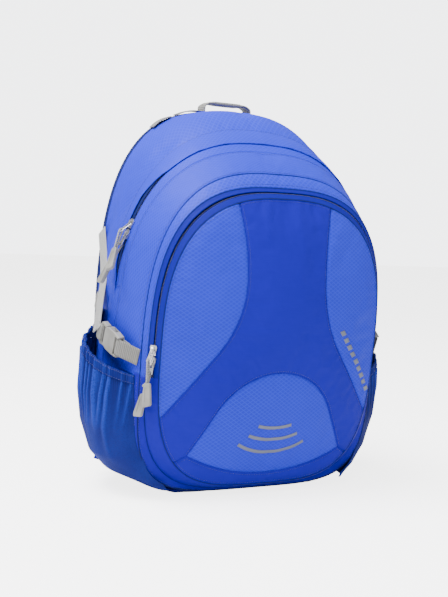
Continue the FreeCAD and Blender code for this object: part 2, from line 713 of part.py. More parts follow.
def maleBody(label, place):
    body = newBody(label)
    sketch = newSketch(body, "XY_Plane")
    polygon(sketch, [("-mouthGap", "-buckleWide / 2 + 0.8"), ("-mouthGap", "buckleWide / 2 - 0.8"),
                     ("-maleLong + 3", "buckleWide / 2"), ("-maleLong", "buckleWide / 2 - 2"),
                     ("-maleLong", "-buckleWide / 2 + 2"), ("-maleLong + 3", "-buckleWide / 2")])
    pad(body, sketch, "maleThick")
    rounded(body, 1.1, lambda e: abs(abs(e.CenterOfMass.z) - dim("maleThick") / 2) < 0.01)
    slots = newSketch(body, "XY_Plane")
    for start in ("-maleLong + 2", "-maleLong + 6.8"):
        rectangle(slots, start, start + " + slotWide", "-webbingWide / 2 - 0.4",
                  "webbingWide / 2 + 0.4")
    pocket(body, slots, "maleThick * 2")
    tongue = newSketch(body, "XY_Plane")
    polygon(tongue, [("-mouthGap - 0.5", "-tongueWide / 2"), ("tongueLong - 1.5", "-tongueWide / 2"),
                     ("tongueLong", "-tongueWide / 2 + 1.2"),
                     ("tongueLong", "tongueWide / 2 - 1.2"),
                     ("tongueLong - 1.5", "tongueWide / 2"), ("-mouthGap - 0.5", "tongueWide / 2")])
    pad(body, tongue, "tongueThick")
    body.Placement = place
    return body


def prongBody(label, place, side):
    """A springy arm with a barb that stands in the female half's side window."""
    body = newBody(label)
    sketch = newSketch(body, "XY_Plane")
    flip = "" if side > 0 else "-"
    rim = "cavityWide / 2 - 0.35"

    def y(text):
        return flip + "(" + text + ")"
    polygon(sketch, [("-mouthGap + prongGap", y(rim)), ("windowFrom + 0.4", y(rim)),
                     ("windowFrom + 0.4", y(rim + " + prongBarb")),
                     ("windowFrom + 2.4", y(rim + " + prongBarb")),
                     ("prongLong", y(rim + " - 0.8")), ("prongLong", y(rim + " - prongArm - 1")),
                     ("windowFrom", y(rim + " - prongArm")),
                     ("-mouthGap + prongGap", y(rim + " - prongArm"))])
    pad(body, sketch, "prongThick")
    rounded(body, 0.5, lambda e: abs(abs(e.CenterOfMass.z) - dim("prongThick") / 2) < 0.01
            and e.CenterOfMass.x > dim("windowFrom") + 1)
    body.Placement = place
    return body


def ribbon(path, acrossAt, width, thickness):
    """Flat webbing along a polyline, its faces square to outward."""
    pieces = []
    for (a, b), (across, out) in zip(zip(path, path[1:]), acrossAt):
        run = (b - a)
        length = run.Length
        along = run * (1 / length)
        box = Part.makeBox(length + thickness * 0.9, width, thickness,
                           Vector(-thickness * 0.45, -width / 2, 0))
        out = (out - along * out.dot(along)).normalize()
        box.Placement = placedBy(a, along, out.cross(along), out)
        pieces.append(box)
    shape = pieces[0]
    for piece in pieces[1:]:
        shape = shape.fuse(piece)
    return one(shape.removeSplitter())


def skinPoint(depth, height, side):
    """The sack's outside at a depth and height on one side."""
    line = [rear, crown, zipMain, seam, outer]
    for a, b in zip(line, line[1:]):
        near, far = a.depthAt(height), b.depthAt(height)
        if far - 1e-9 <= depth <= near + 1e-9:
            share = (near - depth) / (near - far)
            half = a.halfAt(height) + share * (b.halfAt(height) - a.halfAt(height))
            return Vector(side * half, depth, height)
    return seam.point(height, side)


def strapLine(depth):
    rearAt, frontAt = rear.depthAt(dim("strapRearHeight")), seam.depthAt(dim("strapFrontHeight"))
    share = (rearAt - depth) / (rearAt - frontAt)
    return dim("strapRearHeight") + share * (dim("strapFrontHeight") - dim("strapRearHeight"))


def compression(side, name):
    stand = dim("strapStand")
    place = dim("bucklePlace")
    along = Vector(-side * 0.19, -0.93, -0.363).normalize()
    out = Vector(side, 0, 0)
    out = (out - along * out.dot(along)).normalize()
    across = out.cross(along)
    widest = skinPoint(zipMain.depthAt(190), 190, side)
    middle = Vector(widest.x + side * (stand + dim("buckleThick") / 2 + 0.2), place, strapLine(place))
    frame = placedBy(middle, along, across, out)
    femaleBody("buckle_female_" + name, frame)
    maleBody("buckle_male_" + name, frame)
    prongBody("buckle_prong_upper_" + name, frame, 1 if across.z > 0 else -1)
    prongBody("buckle_prong_lower_" + name, frame, -1 if across.z > 0 else 1)
    thick, wide = dim("webbingThick"), dim("webbingWide")

    # front webbing: round the female half's end bar and down to the seam
    start = middle + along * ((dim("slotFrom") + dim("slotTo")) / 2)
    loopOut, loopIn = dim("endBarHalf") + 0.3 + thick, dim("endBarHalf") + 0.3
    turnX = dim("femaleLong") - (dim("slotFrom") + dim("slotTo")) / 2 + 0.6
    outlineOut = [Vector(-thick / 2, 0, -loopOut), Vector(-thick / 2, 0, loopOut),
                  Vector(turnX + thick, 0, loopOut), Vector(turnX + thick + 5, 0, thick / 2 + 0.1),
                  Vector(turnX + thick + 5, 0, -thick / 2 - 0.1), Vector(turnX + thick, 0, -loopOut)]
    outlineIn = [Vector(thick / 2, 0, -loopIn), Vector(thick / 2, 0, loopIn),
                 Vector(turnX, 0, loopIn), Vector(turnX + 3, 0, 0.2), Vector(turnX + 3, 0, -0.2),
                 Vector(turnX, 0, -loopIn)]
    loop = Part.Face(Part.makePolygon(outlineOut + outlineOut[:1])).extrude(Vector(0, wide, 0))
    hollow = Part.Face(Part.makePolygon(outlineIn + outlineIn[:1])).extrude(Vector(0, wide, 0))
    loop = loop.cut(hollow)
    loop.translate(Vector(0, -wide / 2, 0))
    loop.Placement = placedBy(start, along, across, out).multiply(loop.Placement)
    tail = start + along * (turnX + thick + 3.5)
    frontAt = seam.depthAt(dim("strapFrontHeight")) + 1.5
    sewn = skinPoint(frontAt, dim("strapFrontHeight"), side) + Vector(side * 1.3, 0, 0)
    lead = ribbon([tail - out * thick, sewn], [(across, out)], wide, thick * 2)
    soft("compression_front_" + name, one(loop.fuse(lead)))

    # rear webbing: over the male half's bar, back to the rear seam, and the yoke's leg
    lift = dim("maleThick") / 2 + 0.5
    bar = middle - along * (dim("maleLong") - 5.5) + out * lift
    behind = middle - along * (dim("maleLong") + 6) + out * lift
    points = [bar, behind]
    for depth in (44.0, 82.0):
        points.append(skinPoint(depth, strapLine(depth), side) + Vector(side * stand, 0, 0))
    low = ribbon(points, [(across, out)] * 3, wide, thick)
    knee = behind + along * 3 + out * (thick - 0.2)
    mid = skinPoint(48.0, 0.5 * (dim("yokeHeight") + strapLine(40)), side)
    high = skinPoint(82.0, dim("yokeHeight"), side)
    spaced = Vector(side * (stand + 1.6), 0, 0)
    leg = ribbon([knee, mid + spaced, high + spaced], [(across, out)] * 2, wide, thick)
    soft("compression_rear_" + name, one(low.fuse(leg)))
    return frame


leftBuckle = compression(-1, "left")
rightBuckle = compression(1, "right")

# ---- stretch side pockets ----


def ellipsePlan(out, height, grow):
    """A pocket's section seen from above."""
    deep = dim("pocketHalfDeep") + grow
    wide = out - dim("pocketCore") + grow
    centre = Vector(dim("pocketCore"), dim("pocketMiddle"), height)
    if deep > wide:
        ellipse = Part.Ellipse(centre + Vector(0, deep, 0), centre + Vector(wide, 0, 0), centre)
    else:
        ellipse = Part.Ellipse(centre + Vector(wide, 0, 0), centre + Vector(0, deep, 0), centre)
    return Part.Wire([ellipse.toShape()])


def hemCut(drop):
    """Everything above the slanted hem line, lowered by drop."""
    rise = dim("hemRear") - dim("hemFront")
    run = dim("hemRearDepth") - dim("hemFrontDepth")
    slope = rise / run
    low = dim("hemFront") - drop - slope * (dim("hemFrontDepth") + 300)
    corners = [Vector(0, -300, low), Vector(0, 300, low + slope * 600), Vector(0, 300, 800),
               Vector(0, -300, 800)]
    face = Part.Face(Part.makePolygon(corners + corners[:1]))
    return face.extrude(Vector(400, 0, 0))


def pocketShape(grow):
    out = dim("pocketOut")
    levels = [(12, out - 62), (24, out - 34), (45, out - 14), (80, out - 3), (115, out),
              (160, out - 3), (205, out - 12)]
    return Part.makeLoft([ellipsePlan(o, z, grow) for z, o in levels], True, False)


gapped = dim("pocketGap")
sackWires = [Station(rear.depth + 6, *rear.values()[1:]).wire(gapped)]
sackWires += [s.wire(gapped) for s in (rear, crown, zipMain, seam, outer, inner)]
sackWires.append(Station(inner.depth - 25, *inner.values()[1:]).wire(gapped - 30))
sack = None
for a, b in zip(sackWires, sackWires[1:]):
    part = Part.makeLoft([a, b], True, True)
    sack = part if sack is None else sack.fuse(part)
wallDown = pocketShape(-dim("pocketWall"))
wall = pocketShape(0.0).cut(wallDown.fuse(Part.makeBox(400, 800, 3, Vector(0, -400, 204))))
wall = wall.cut(sack).cut(hemCut(0))
inside = Part.makeBox(400, 400, 600, Vector(dim("pocketCore") + 8, -200, -50))
wall = one(wall.common(inside))
hemShape = one(wall.common(hemCut(dim("hemTall"))))
meshShape = one(wall.cut(hemCut(dim("hemTall"))))
for side, name in ((-1, "left"), (1, "right")):
    for label, shape in (("side_pocket_", meshShape), ("pocket_hem_", hemShape)):
        made = shape.copy() if side > 0 else shape.mirror(Vector(0, 0, 0), Vector(1, 0, 0))
        soft(label + name, made)

# ---- back pads, shoulder straps and lower webbing ----


def backPad(label, wide, high, outX, foot, side):
    depth = rear.depthAt(foot) + fabric + 1.0 + 0.2
    box = Part.makeBox(wide, dim("padThick"), high, Vector(side * outX - wide / 2, depth, foot))
    edges = [e for e in box.Edges if abs(e.CenterOfMass.y - depth - dim("padThick") / 2) < 0.1]
    box = box.makeFillet(min(dim("padRound"), wide / 2 - 1, high / 2 - 1), edges)
    rim = [e for e in box.Edges if abs(e.CenterOfMass.y - depth - dim("padThick")) < 0.1]
    box = box.makeFillet(dim("padThick") * 0.55, rim)
    return soft(label, box)


backPad("back_pad_left", dim("padWide"), dim("padHigh"), dim("padOut"), dim("padFoot"), -1)
backPad("back_pad_right", dim("padWide"), dim("padHigh"), dim("padOut"), dim("padFoot"), 1)
backPad("back_pad_lumbar", dim("lumbarWide"), dim("lumbarHigh"), 0, dim("lumbarFoot"), 1)


def strapStops(side):
    """The padded strap's middle line, from the top seam to its lower end."""
    rise = dim("strapTop") - dim("strapFoot")
    out0, out1 = dim("strapTopOut"), dim("strapFootOut")
    base0 = rear.depthAt(dim("strapTop")) + fabric + 1.0
    stops = []
    for share in (0.0, 0.12, 0.3, 0.55, 0.8, 1.0):
        lift = math.sin(math.pi * min(1.0, share * 1.02)) ** 0.7 if 0 < share < 1 else 0
        y = base0 + 7 + (dim("strapArch") - base0 - 7) * lift + 13 * share
        x = out0 + (out1 - out0) * (share ** 1.3) - 8 * math.sin(math.pi * share)
        stops.append(Vector(side * x, y, dim("strapTop") - rise * share))
    return stops


def strapSolid(side, name):
    stops = strapStops(side)
    wires = []
    for n, p in enumerate(stops):
        a, b = stops[max(0, n - 1)], stops[min(len(stops) - 1, n + 1)]
        down = (b - a).normalize()
        across = Vector(1, 0, 0)
        across = (across - down * across.dot(down)).normalize()
        out = across.cross(down).normalize()
        wide = dim("strapWide") * (0.94 if n < 5 else 0.62) / 2
        half = dim("strapThick") / 2 * (0.7 if n in (0, 5) else 1.0)
        cut = half * 0.8
        corners = [(-wide + cut, -half), (wide - cut, -half), (wide, -half + cut),
                   (wide, half - cut), (wide - cut, half), (-wide + cut, half),
                   (-wide, half - cut), (-wide, -half + cut)]
        ring = [p + across * x + out * z for x, z in corners]
        wires.append(Part.makePolygon(ring + ring[:1]))
    solid = Part.makeLoft(wires, True, False)
    return soft("shoulder_strap_" + name, solid), stops


def lockBody(label, place):
    """A ladder lock: two slots, a grip bar between and a thumb lip below."""
    body = newBody(label)
    sketch = newSketch(body, "XY_Plane")
    polygon(sketch, [("-lockWide / 2 + 2", "lockBar / 2"), ("-lockWide / 2", "lockBar / 2 - 2"),
                     ("-lockWide / 2", "-lockLong + 4"), ("-lockWide / 2 + 5", "-lockLong + lockBar / 2"),
                     ("lockWide / 2 - 5", "-lockLong + lockBar / 2"), ("lockWide / 2", "-lockLong + 4"),
                     ("lockWide / 2", "lockBar / 2 - 2"), ("lockWide / 2 - 2", "lockBar / 2")])
    pad(body, sketch, "lockThick")
    slots = newSketch(body, "XY_Plane")
    for n in (0, 1):
        high = "-lockBar / 2 - %d * (lockSlot + lockBar)" % n
        rectangle(slots, "-lockSlotWide / 2", "lockSlotWide / 2", high + " - lockSlot", high)
    pocket(body, slots, "lockThick * 2")
    rounded(body, 1.0, lambda e: abs(abs(e.CenterOfMass.z) - dim("lockThick") / 2) < 0.01
            and (abs(e.CenterOfMass.x) > dim("lockSlotWide") / 2 + 1
                 or e.CenterOfMass.y < -dim("lockLong") + 3))
    body.Placement = place
    return body


locks = {}
for side, name in ((-1, "left"), (1, "right")):
    strap, stops = strapSolid(side, name)
    foot = stops[-1]
    backFace = rear.depthAt(dim("anchorHeight")) + fabric + 1.0
    down = (Vector(side * dim("anchorOut"), backFace + 3, dim("anchorHeight")) - foot).normalize()
    out = Vector(0, 1, 0)
    out = (out - down * out.dot(down)).normalize()
    up = down * -1
    across = up.cross(out)
    hinge = foot + down * (dim("lockGap") + dim("lockBar") / 2)
    lockBody("ladder_lock_" + name, placedBy(hinge, across, up, out))
    locks[name] = (hinge, across)
    start = hinge + down * (dim("lockLong") + 1.0) + out * 1.0
    end = Vector(side * dim("anchorOut"), backFace + 1.5, dim("anchorHeight"))
    low = ribbon([start, end], [(across, out)], dim("lowerWide"), dim("webbingThick"))
    tab = Part.makeBox(34, 22, 2.2, Vector(-17, -11, 0))
    tab.Placement = placedBy(Vector(end.x, backFace + 0.4, end.z) + down * 2,
                             across, (across.cross(Vector(0, 1, 0))) * -1, Vector(0, 1, 0))
    soft("lower_webbing_" + name, one(low.fuse([tab])))

# ---- grab handle: a padded webbing arch over the top seam, leaning on its two feet ----

half, rise = dim("handleHalf"), dim("handleRise")
thick, wide = dim("handleThick"), dim("handleWide")


def archFace(grow, low):
    """The arch seen from the front: straight feet and rounded shoulders."""
    x, top = half - grow, rise - grow
    soften = 9.0 - 0.6 * grow
    turn = soften * math.sqrt(0.5)
    edges = [segment(at(-x, low), at(-x, top - soften)),
             arc(at(-x, top - soften), at(-x + soften - turn, top - soften + turn),
                 at(-x + soften, top)),
             segment(at(-x + soften, top), at(x - soften, top)),
             arc(at(x - soften, top), at(x - soften + turn, top - soften + turn),
                 at(x, top - soften)),
             segment(at(x, top - soften), at(x, low)), segment(at(x, low), at(-x, low))]
    return Part.Face(Part.Wire(edges)).extrude(Vector(0, wide, 0))


handle = archFace(0.0, 0.0).cut(archFace(thick, -5.0))
handle = handle.makeFillet(1.4, [e for e in handle.Edges
                                 if e.Length > 20 and abs(e.CenterOfMass.z - rise) < 0.1])
soft("grab_handle", handle, FreeCAD.Placement(
    Vector(0, rear.depth - wide / 2, rear.top + dim("handleFoot")), FreeCAD.Rotation()))

doc.recompute()

names = []
for item in doc.Objects:
    if item.TypeId not in ("PartDesign::Body", "Part::Feature"):
        if "Invalid" in item.State or "Error" in item.State:
            raise RuntimeError(item.Name + " failed")
        continue
    if "Invalid" in item.State or "Error" in item.State:
        raise RuntimeError(item.Label + " failed")
    shape = item.Shape
    if shape.isNull() or not shape.isValid() or shape.Volume <= 0:
        raise RuntimeError(item.Label + " has no valid shape")
    names.append(item)

os.makedirs("parts", exist_ok=True)
for item in names:
    item.Shape.exportStep("parts/" + item.Label + ".step")
print("%d nodes" % len(names))
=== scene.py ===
import math

import bmesh
import bpy
import numpy as np
from mathutils import Matrix, Vector, geometry, kdtree
from mathutils.bvhtree import BVHTree


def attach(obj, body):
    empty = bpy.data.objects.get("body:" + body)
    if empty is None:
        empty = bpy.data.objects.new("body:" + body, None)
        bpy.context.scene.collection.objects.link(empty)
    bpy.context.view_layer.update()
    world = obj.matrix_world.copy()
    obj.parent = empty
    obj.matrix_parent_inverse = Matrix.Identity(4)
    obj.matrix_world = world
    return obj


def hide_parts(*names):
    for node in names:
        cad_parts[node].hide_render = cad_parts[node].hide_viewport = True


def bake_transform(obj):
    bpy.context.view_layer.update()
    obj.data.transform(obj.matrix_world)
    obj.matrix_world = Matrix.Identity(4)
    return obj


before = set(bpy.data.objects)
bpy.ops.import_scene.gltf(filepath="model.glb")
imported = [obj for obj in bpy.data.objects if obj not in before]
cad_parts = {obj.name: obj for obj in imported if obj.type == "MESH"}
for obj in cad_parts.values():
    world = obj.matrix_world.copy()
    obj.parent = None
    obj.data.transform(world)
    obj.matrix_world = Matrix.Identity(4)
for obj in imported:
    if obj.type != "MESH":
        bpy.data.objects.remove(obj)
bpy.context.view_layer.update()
mm = 0.001
scene = bpy.context.scene

# ---- camera: low three-quarter view from the bag's left front, with a slight roll ----

cameraSet = {"azimuth": 28.17, "pitch": 4.86, "roll": 3.01, "distance": 1.2385,
             "aim": 0.2082, "lens": 63.6, "shiftX": -0.0372, "shiftY": 0.0185}


def makeCamera():
    turn, tilt, roll = (math.radians(cameraSet[k]) for k in ("azimuth", "pitch", "roll"))
    right = Vector((math.cos(turn), -math.sin(turn), 0))
    level = Vector((math.sin(turn), math.cos(turn), 0))
    forward = level * math.cos(tilt) - Vector((0, 0, math.sin(tilt)))
    up = Vector((0, 0, math.cos(tilt))) + level * math.sin(tilt)
    rolledRight = right * math.cos(roll) + up * math.sin(roll)
    rolledUp = up * math.cos(roll) - right * math.sin(roll)
    place = Vector((0, 0, cameraSet["aim"])) - forward * cameraSet["distance"]
    data = bpy.data.cameras.new("studioCamera")
    data.lens = cameraSet["lens"]
    data.sensor_width = 36
    data.shift_x, data.shift_y = cameraSet["shiftX"], cameraSet["shiftY"]
    data.dof.use_dof = False
    obj = bpy.data.objects.new("studioCamera", data)
    axes = Matrix((rolledRight, rolledUp, -forward)).transposed()
    obj.matrix_world = Matrix.Translation(place) @ axes.to_4x4()
    scene.collection.objects.link(obj)
    scene.camera = obj


makeCamera()

# ---- shader helpers ----


def addNode(tree, kind, inputs=None, **settings):
    node = tree.nodes.new(kind)
    for key, value in settings.items():
        setattr(node, key, value)
    for name, value in (inputs or {}).items():
        socket = node.inputs[name]
        if isinstance(value, bpy.types.NodeSocket):
            tree.links.new(value, socket)
        elif isinstance(value, bpy.types.Node):
            tree.links.new(value.outputs[0], socket)
        else:
            socket.default_value = value
    return node


def maths(tree, operation, a, b=0.0, clamp=False):
    return addNode(tree, "ShaderNodeMath", {0: a, 1: b}, operation=operation,
                   use_clamp=clamp).outputs[0]


def ramp(tree, value, low, high, fromLow=0.0, fromHigh=1.0):
    return addNode(tree, "ShaderNodeMapRange",
                   {"Value": value, "From Min": fromLow, "From Max": fromHigh,
                    "To Min": low, "To Max": high}, interpolation_type="SMOOTHSTEP").outputs[0]


def newGroup(name, inputs, outputs):
    tree = bpy.data.node_groups.new(name, "ShaderNodeTree")
    for label, kind, value in inputs:
        socket = tree.interface.new_socket(name=label, in_out="INPUT", socket_type=kind)
        if value is not None:
            socket.default_value = value
    for label in outputs:
        tree.interface.new_socket(name=label, in_out="OUTPUT", socket_type="NodeSocketFloat")
    return tree, tree.nodes.new("NodeGroupInput"), tree.nodes.new("NodeGroupOutput")


floatSocket, vectorSocket = "NodeSocketFloat", "NodeSocketVector"


# the distance across evenly pitched stripes, 0 on a stripe's middle and 0.5 between two
def stripes(tree, place, direction, pitch):
    along = addNode(tree, "ShaderNodeVectorMath", {0: place, 1: direction},
                    operation="DOT_PRODUCT").outputs["Value"]
    share = maths(tree, "FRACT", maths(tree, "DIVIDE", along, pitch))
    return maths(tree, "SUBTRACT", 0.5, maths(tree, "ABSOLUTE",
                                              maths(tree, "SUBTRACT", share, 0.5)))


def makeWeaveGroup():
    tree, given, out = newGroup("plainWeave", [("Place", vectorSocket, None),
                                               ("Pitch", floatSocket, 0.0009)],
                                ["Height", "Slub"])
    rate = maths(tree, "DIVIDE", 2 * math.pi, given.outputs["Pitch"])
    waves = []
    for direction in ((1, 0, 0), (0, 1, 0)):
        along = addNode(tree, "ShaderNodeVectorMath", {0: given.outputs["Place"], 1: direction},
                        operation="DOT_PRODUCT").outputs["Value"]
        waves.append(maths(tree, "SINE", maths(tree, "MULTIPLY", along, rate)))
    cross = maths(tree, "MULTIPLY", waves[0], waves[1])
    tree.links.new(maths(tree, "MULTIPLY_ADD", cross, 0.5), out.inputs["Height"])
    stretched = addNode(tree, "ShaderNodeVectorMath",
                        {0: given.outputs["Place"], 1: (60, 900, 60)}, operation="MULTIPLY")
    slub = addNode(tree, "ShaderNodeTexNoise", {"Vector": stretched, "Scale": 1.0,
                                                "Detail": 3.0, "Roughness": 0.6})
    tree.links.new(slub.outputs[0], out.inputs["Slub"])
    return tree


def makeRipstopGroup():
    tree, given, out = newGroup("ripstopLattice", [("Place", vectorSocket, None),
                                                   ("Pitch", floatSocket, 0.0045),
                                                   ("Width", floatSocket, 0.11)], ["Lines"])
    masks = []
    for direction in ((0.57, 0.82, 0), (0.57, -0.82, 0)):
        away = stripes(tree, given.outputs["Place"], direction, given.outputs["Pitch"])
        share = maths(tree, "DIVIDE", away, given.outputs["Width"])
        masks.append(ramp(tree, share, 1.0, 0.0, 0.4, 1.5))
    tree.links.new(maths(tree, "MAXIMUM", masks[0], masks[1]), out.inputs["Lines"])
    return tree


def makeFadeGroup():
    tree, given, out = newGroup("softFade", [("Place", vectorSocket, None),
                                             ("Scale", floatSocket, 9.0)], ["Fade", "Fine"])
    for label, factor, detail in (("Fade", 1.0, 2.0), ("Fine", 34.0, 4.0)):
        scale = maths(tree, "MULTIPLY", given.outputs["Scale"], factor)
        noise = addNode(tree, "ShaderNodeTexNoise", {"Vector": given.outputs["Place"],
                                                     "Scale": scale, "Detail": detail})
        tree.links.new(noise.outputs[0], out.inputs[label])
    return tree


def makeCellGroup():
    tree, given, out = newGroup("meshCells", [("Place", vectorSocket, None),
                                              ("Pitch", floatSocket, 0.0016)], ["Hole"])
    rate = maths(tree, "DIVIDE", 1.0, given.outputs["Pitch"])
    cells = addNode(tree, "ShaderNodeTexVoronoi", {"Vector": given.outputs["Place"],
                                                   "Scale": rate, "Randomness": 0.35})
    tree.links.new(ramp(tree, cells.outputs["Distance"], 1.0, 0.0, 0.22, 0.42),
                   out.inputs["Hole"])
    return tree


def makeRibGroup():
    tree, given, out = newGroup("webbingRibs", [("Place", vectorSocket, None),
                                                ("Pitch", floatSocket, 0.0022)],
                                ["Rib", "Yarn"])
    away = stripes(tree, given.outputs["Place"], (1, 0, 0), given.outputs["Pitch"])
    tree.links.new(ramp(tree, away, 1.0, 0.0, 0.08, 0.46), out.inputs["Rib"])
    slant = [stripes(tree, given.outputs["Place"], direction, 0.0011)
             for direction in ((0.6, 0.8, 0), (0.6, -0.8, 0))]
    tree.links.new(maths(tree, "ADD", slant[0], slant[1]), out.inputs["Yarn"])
    return tree


weaveGroup, ripstopGroup, fadeGroup = makeWeaveGroup(), makeRipstopGroup(), makeFadeGroup()
cellGroup, ribGroup = makeCellGroup(), makeRibGroup()


def useGroup(tree, group, inputs):
    node = tree.nodes.new("ShaderNodeGroup")
    node.node_tree = group
    for name, value in inputs.items():
        if isinstance(value, bpy.types.NodeSocket):
            tree.links.new(value, node.inputs[name])
        else:
            node.inputs[name].default_value = value
    return node.outputs


def newMaterial(name, roughness, sheen=0.0, metallic=0.0, specular=0.5):
    material = bpy.data.materials.new(name)
    material.use_nodes = True
    tree = material.node_tree
    shader = tree.nodes["Principled BSDF"]
    shader.inputs["Roughness"].default_value = roughness
    shader.inputs["Metallic"].default_value = metallic
    shader.inputs["Specular IOR Level"].default_value = specular
    if sheen:
        shader.inputs["Sheen Weight"].default_value = sheen
        shader.inputs["Sheen Roughness"].default_value = 0.45
    return material, tree, shader


def mixColours(tree, factor, a, b):
    node = addNode(tree, "ShaderNodeMix", data_type="RGBA")
    for index, value in ((0, factor), (6, a), (7, b)):
        if isinstance(value, bpy.types.NodeSocket):
            tree.links.new(value, node.inputs[index])
        elif index == 0:
            node.inputs[index].default_value = value
        else:
            node.inputs[index].default_value = (*value[:3], 1)
    return node.outputs[2]


def addBump(tree, shader, height, strength, distance):
    bump = addNode(tree, "ShaderNodeBump", {"Height": height, "Strength": strength,
                                            "Distance": distance})
    tree.links.new(bump.outputs["Normal"], shader.inputs["Normal"])


def coordinates(tree, kind):
    return tree.nodes.new("ShaderNodeTexCoord").outputs[kind]


# nylon cloth: a weave, an optional diamond lattice and a slow fade of the dye
def clothMaterial(name, look):
    material, tree, shader = newMaterial(name, look["roughness"], specular=0.08)
    place = coordinates(tree, "UV")
    weave = useGroup(tree, weaveGroup, {"Place": place, "Pitch": look["pitch"]})
    fade = useGroup(tree, fadeGroup, {"Place": coordinates(tree, "Object"), "Scale": 8.0})
    tone = maths(tree, "MULTIPLY_ADD", fade["Fade"], 0.7)
    tone.node.inputs[2].default_value = -0.1
    tone = maths(tree, "ADD", tone, maths(tree, "MULTIPLY", weave["Slub"], 0.35), clamp=True)
    colour = mixColours(tree, tone, look["dark"], look["light"])
    height = maths(tree, "MULTIPLY", weave["Height"], look.get("weave", 0.5))
    height = maths(tree, "ADD", height, maths(tree, "MULTIPLY", fade["Fine"], 0.4))
    if look.get("lattice"):
        lines = useGroup(tree, ripstopGroup, {"Place": place, "Pitch": look["lattice"],
                                              "Width": 0.12})["Lines"]
        colour = mixColours(tree, maths(tree, "MULTIPLY", lines, look["lineTint"]), colour,
                            look["line"])
        height = maths(tree, "ADD", height, maths(tree, "MULTIPLY", lines, 0.6))
    tree.links.new(colour, shader.inputs["Base Color"])
    rough = ramp(tree, fade["Fine"], look["roughness"] - 0.07, look["roughness"] + 0.09)
    tree.links.new(rough, shader.inputs["Roughness"])
    addBump(tree, shader, height, look.get("bump", 0.35), 0.00035)
    return material


ripstopLight = clothMaterial("ripstopLight", {
    "dark": (0.010, 0.017, 0.44), "light": (0.022, 0.034, 0.68), "line": (0.06, 0.085, 0.84),
    "lattice": 0.0037, "lineTint": 0.26, "roughness": 0.42, "pitch": 0.0008})
plainDark = clothMaterial("plainDark", {
    "dark": (0.007, 0.004, 0.27), "light": (0.014, 0.008, 0.42), "roughness": 0.5,
    "pitch": 0.0011, "weave": 0.8})
zipTapeCloth = clothMaterial("zipTapeCloth", {
    "dark": (0.004, 0.005, 0.20), "light": (0.009, 0.010, 0.31), "roughness": 0.46,
    "pitch": 0.0014, "weave": 1.0})
liningCloth = clothMaterial("liningCloth", {
    "dark": (0.012, 0.02, 0.10), "light": (0.02, 0.03, 0.15), "roughness": 0.6,
    "pitch": 0.0009})
bindingCloth = clothMaterial("bindingCloth", {
    "dark": (0.006, 0.010, 0.075), "light": (0.012, 0.02, 0.13), "roughness": 0.7,
    "pitch": 0.0013, "weave": 1.0, "bump": 0.5})


# open-hole knits: the stretch pockets, their hems and the air mesh on the back
def knitMaterial(name, look):
    material, tree, shader = newMaterial(name, look["roughness"], look.get("sheen", 0.0),
                                         specular=0.08)
    place = coordinates(tree, "UV")
    hole = useGroup(tree, cellGroup, {"Place": place, "Pitch": look["pitch"]})["Hole"]
    fade = useGroup(tree, fadeGroup, {"Place": coordinates(tree, "Object"), "Scale": 14.0})
    tone = ramp(tree, fade["Fade"], 0.0, 1.0, 0.25, 0.75)
    yarn = mixColours(tree, tone, look["dark"], look["light"])
    # painted highlight on the knit's fold ridges and painted shade in its fold troughs, read
    # from a per-point fold mask on the pocket mesh
    if look.get("ridge"):
        gather = addNode(tree, "ShaderNodeAttribute", attribute_name="gather").outputs["Fac"]
        yarn = mixColours(tree, ramp(tree, gather, 0.0, 0.9, 0.35, 1.0), yarn, look["ridge"])
        yarn = mixColours(tree, ramp(tree, gather, 0.65, 0.0, 0.0, 0.3), yarn, look["hole"])
    colour = mixColours(tree, maths(tree, "MULTIPLY", hole, look["depth"]), yarn, look["hole"])
    tree.links.new(colour, shader.inputs["Base Color"])
    height = maths(tree, "SUBTRACT", maths(tree, "MULTIPLY", fade["Fine"], 0.3), hole)
    addBump(tree, shader, height, look["bump"], 0.0006)
    return material


# the ridge colours are painted highlights on the pocket folds; the hole colours are the knit's
# dark holes and also paint shade in the fold troughs
stretchMesh = knitMaterial("stretchMesh", {
    "dark": (0.005, 0.008, 0.11), "light": (0.010, 0.020, 0.21), "hole": (0.002, 0.003, 0.04),
    "ridge": (0.022, 0.05, 0.42), "pitch": 0.0015, "depth": 0.55, "roughness": 0.62,
    "bump": 0.5})
stretchHem = knitMaterial("stretchHem", {
    "dark": (0.005, 0.008, 0.12), "light": (0.010, 0.020, 0.21), "hole": (0.003, 0.005, 0.08),
    "ridge": (0.016, 0.035, 0.33), "pitch": 0.0008, "depth": 0.5, "roughness": 0.6,
    "bump": 0.4})
airMesh = knitMaterial("airMesh", {
    "dark": (0.012, 0.014, 0.024), "light": (0.026, 0.030, 0.048), "hole": (0.003, 0.003, 0.006),
    "pitch": 0.0034, "depth": 0.9, "roughness": 0.8, "sheen": 0.3, "bump": 0.9})


def webbingMaterial(name, look):
    material, tree, shader = newMaterial(name, look["roughness"], 0.2)
    place = coordinates(tree, "UV")
    rib = useGroup(tree, ribGroup, {"Place": place, "Pitch": look["pitch"]})
    fade = useGroup(tree, fadeGroup, {"Place": coordinates(tree, "Object"), "Scale": 22.0})
    tone = maths(tree, "MULTIPLY", rib["Rib"], 0.6)
    tone = maths(tree, "ADD", tone, maths(tree, "MULTIPLY", fade["Fade"], 0.4), clamp=True)
    colour = mixColours(tree, tone, look["dark"], look["light"])
    tree.links.new(colour, shader.inputs["Base Color"])
    height = maths(tree, "ADD", rib["Rib"], maths(tree, "MULTIPLY", rib["Yarn"], 0.5))
    addBump(tree, shader, height, 0.7, 0.0005)
    return material


webbingGrey = webbingMaterial("webbingGrey", {
    "dark": (0.11, 0.108, 0.10), "light": (0.28, 0.276, 0.262), "pitch": 0.0022,
    "roughness": 0.62})
webbingLight = webbingMaterial("webbingLight", {
    "dark": (0.30, 0.30, 0.30), "light": (0.46, 0.46, 0.46), "pitch": 0.0009,
    "roughness": 0.55})
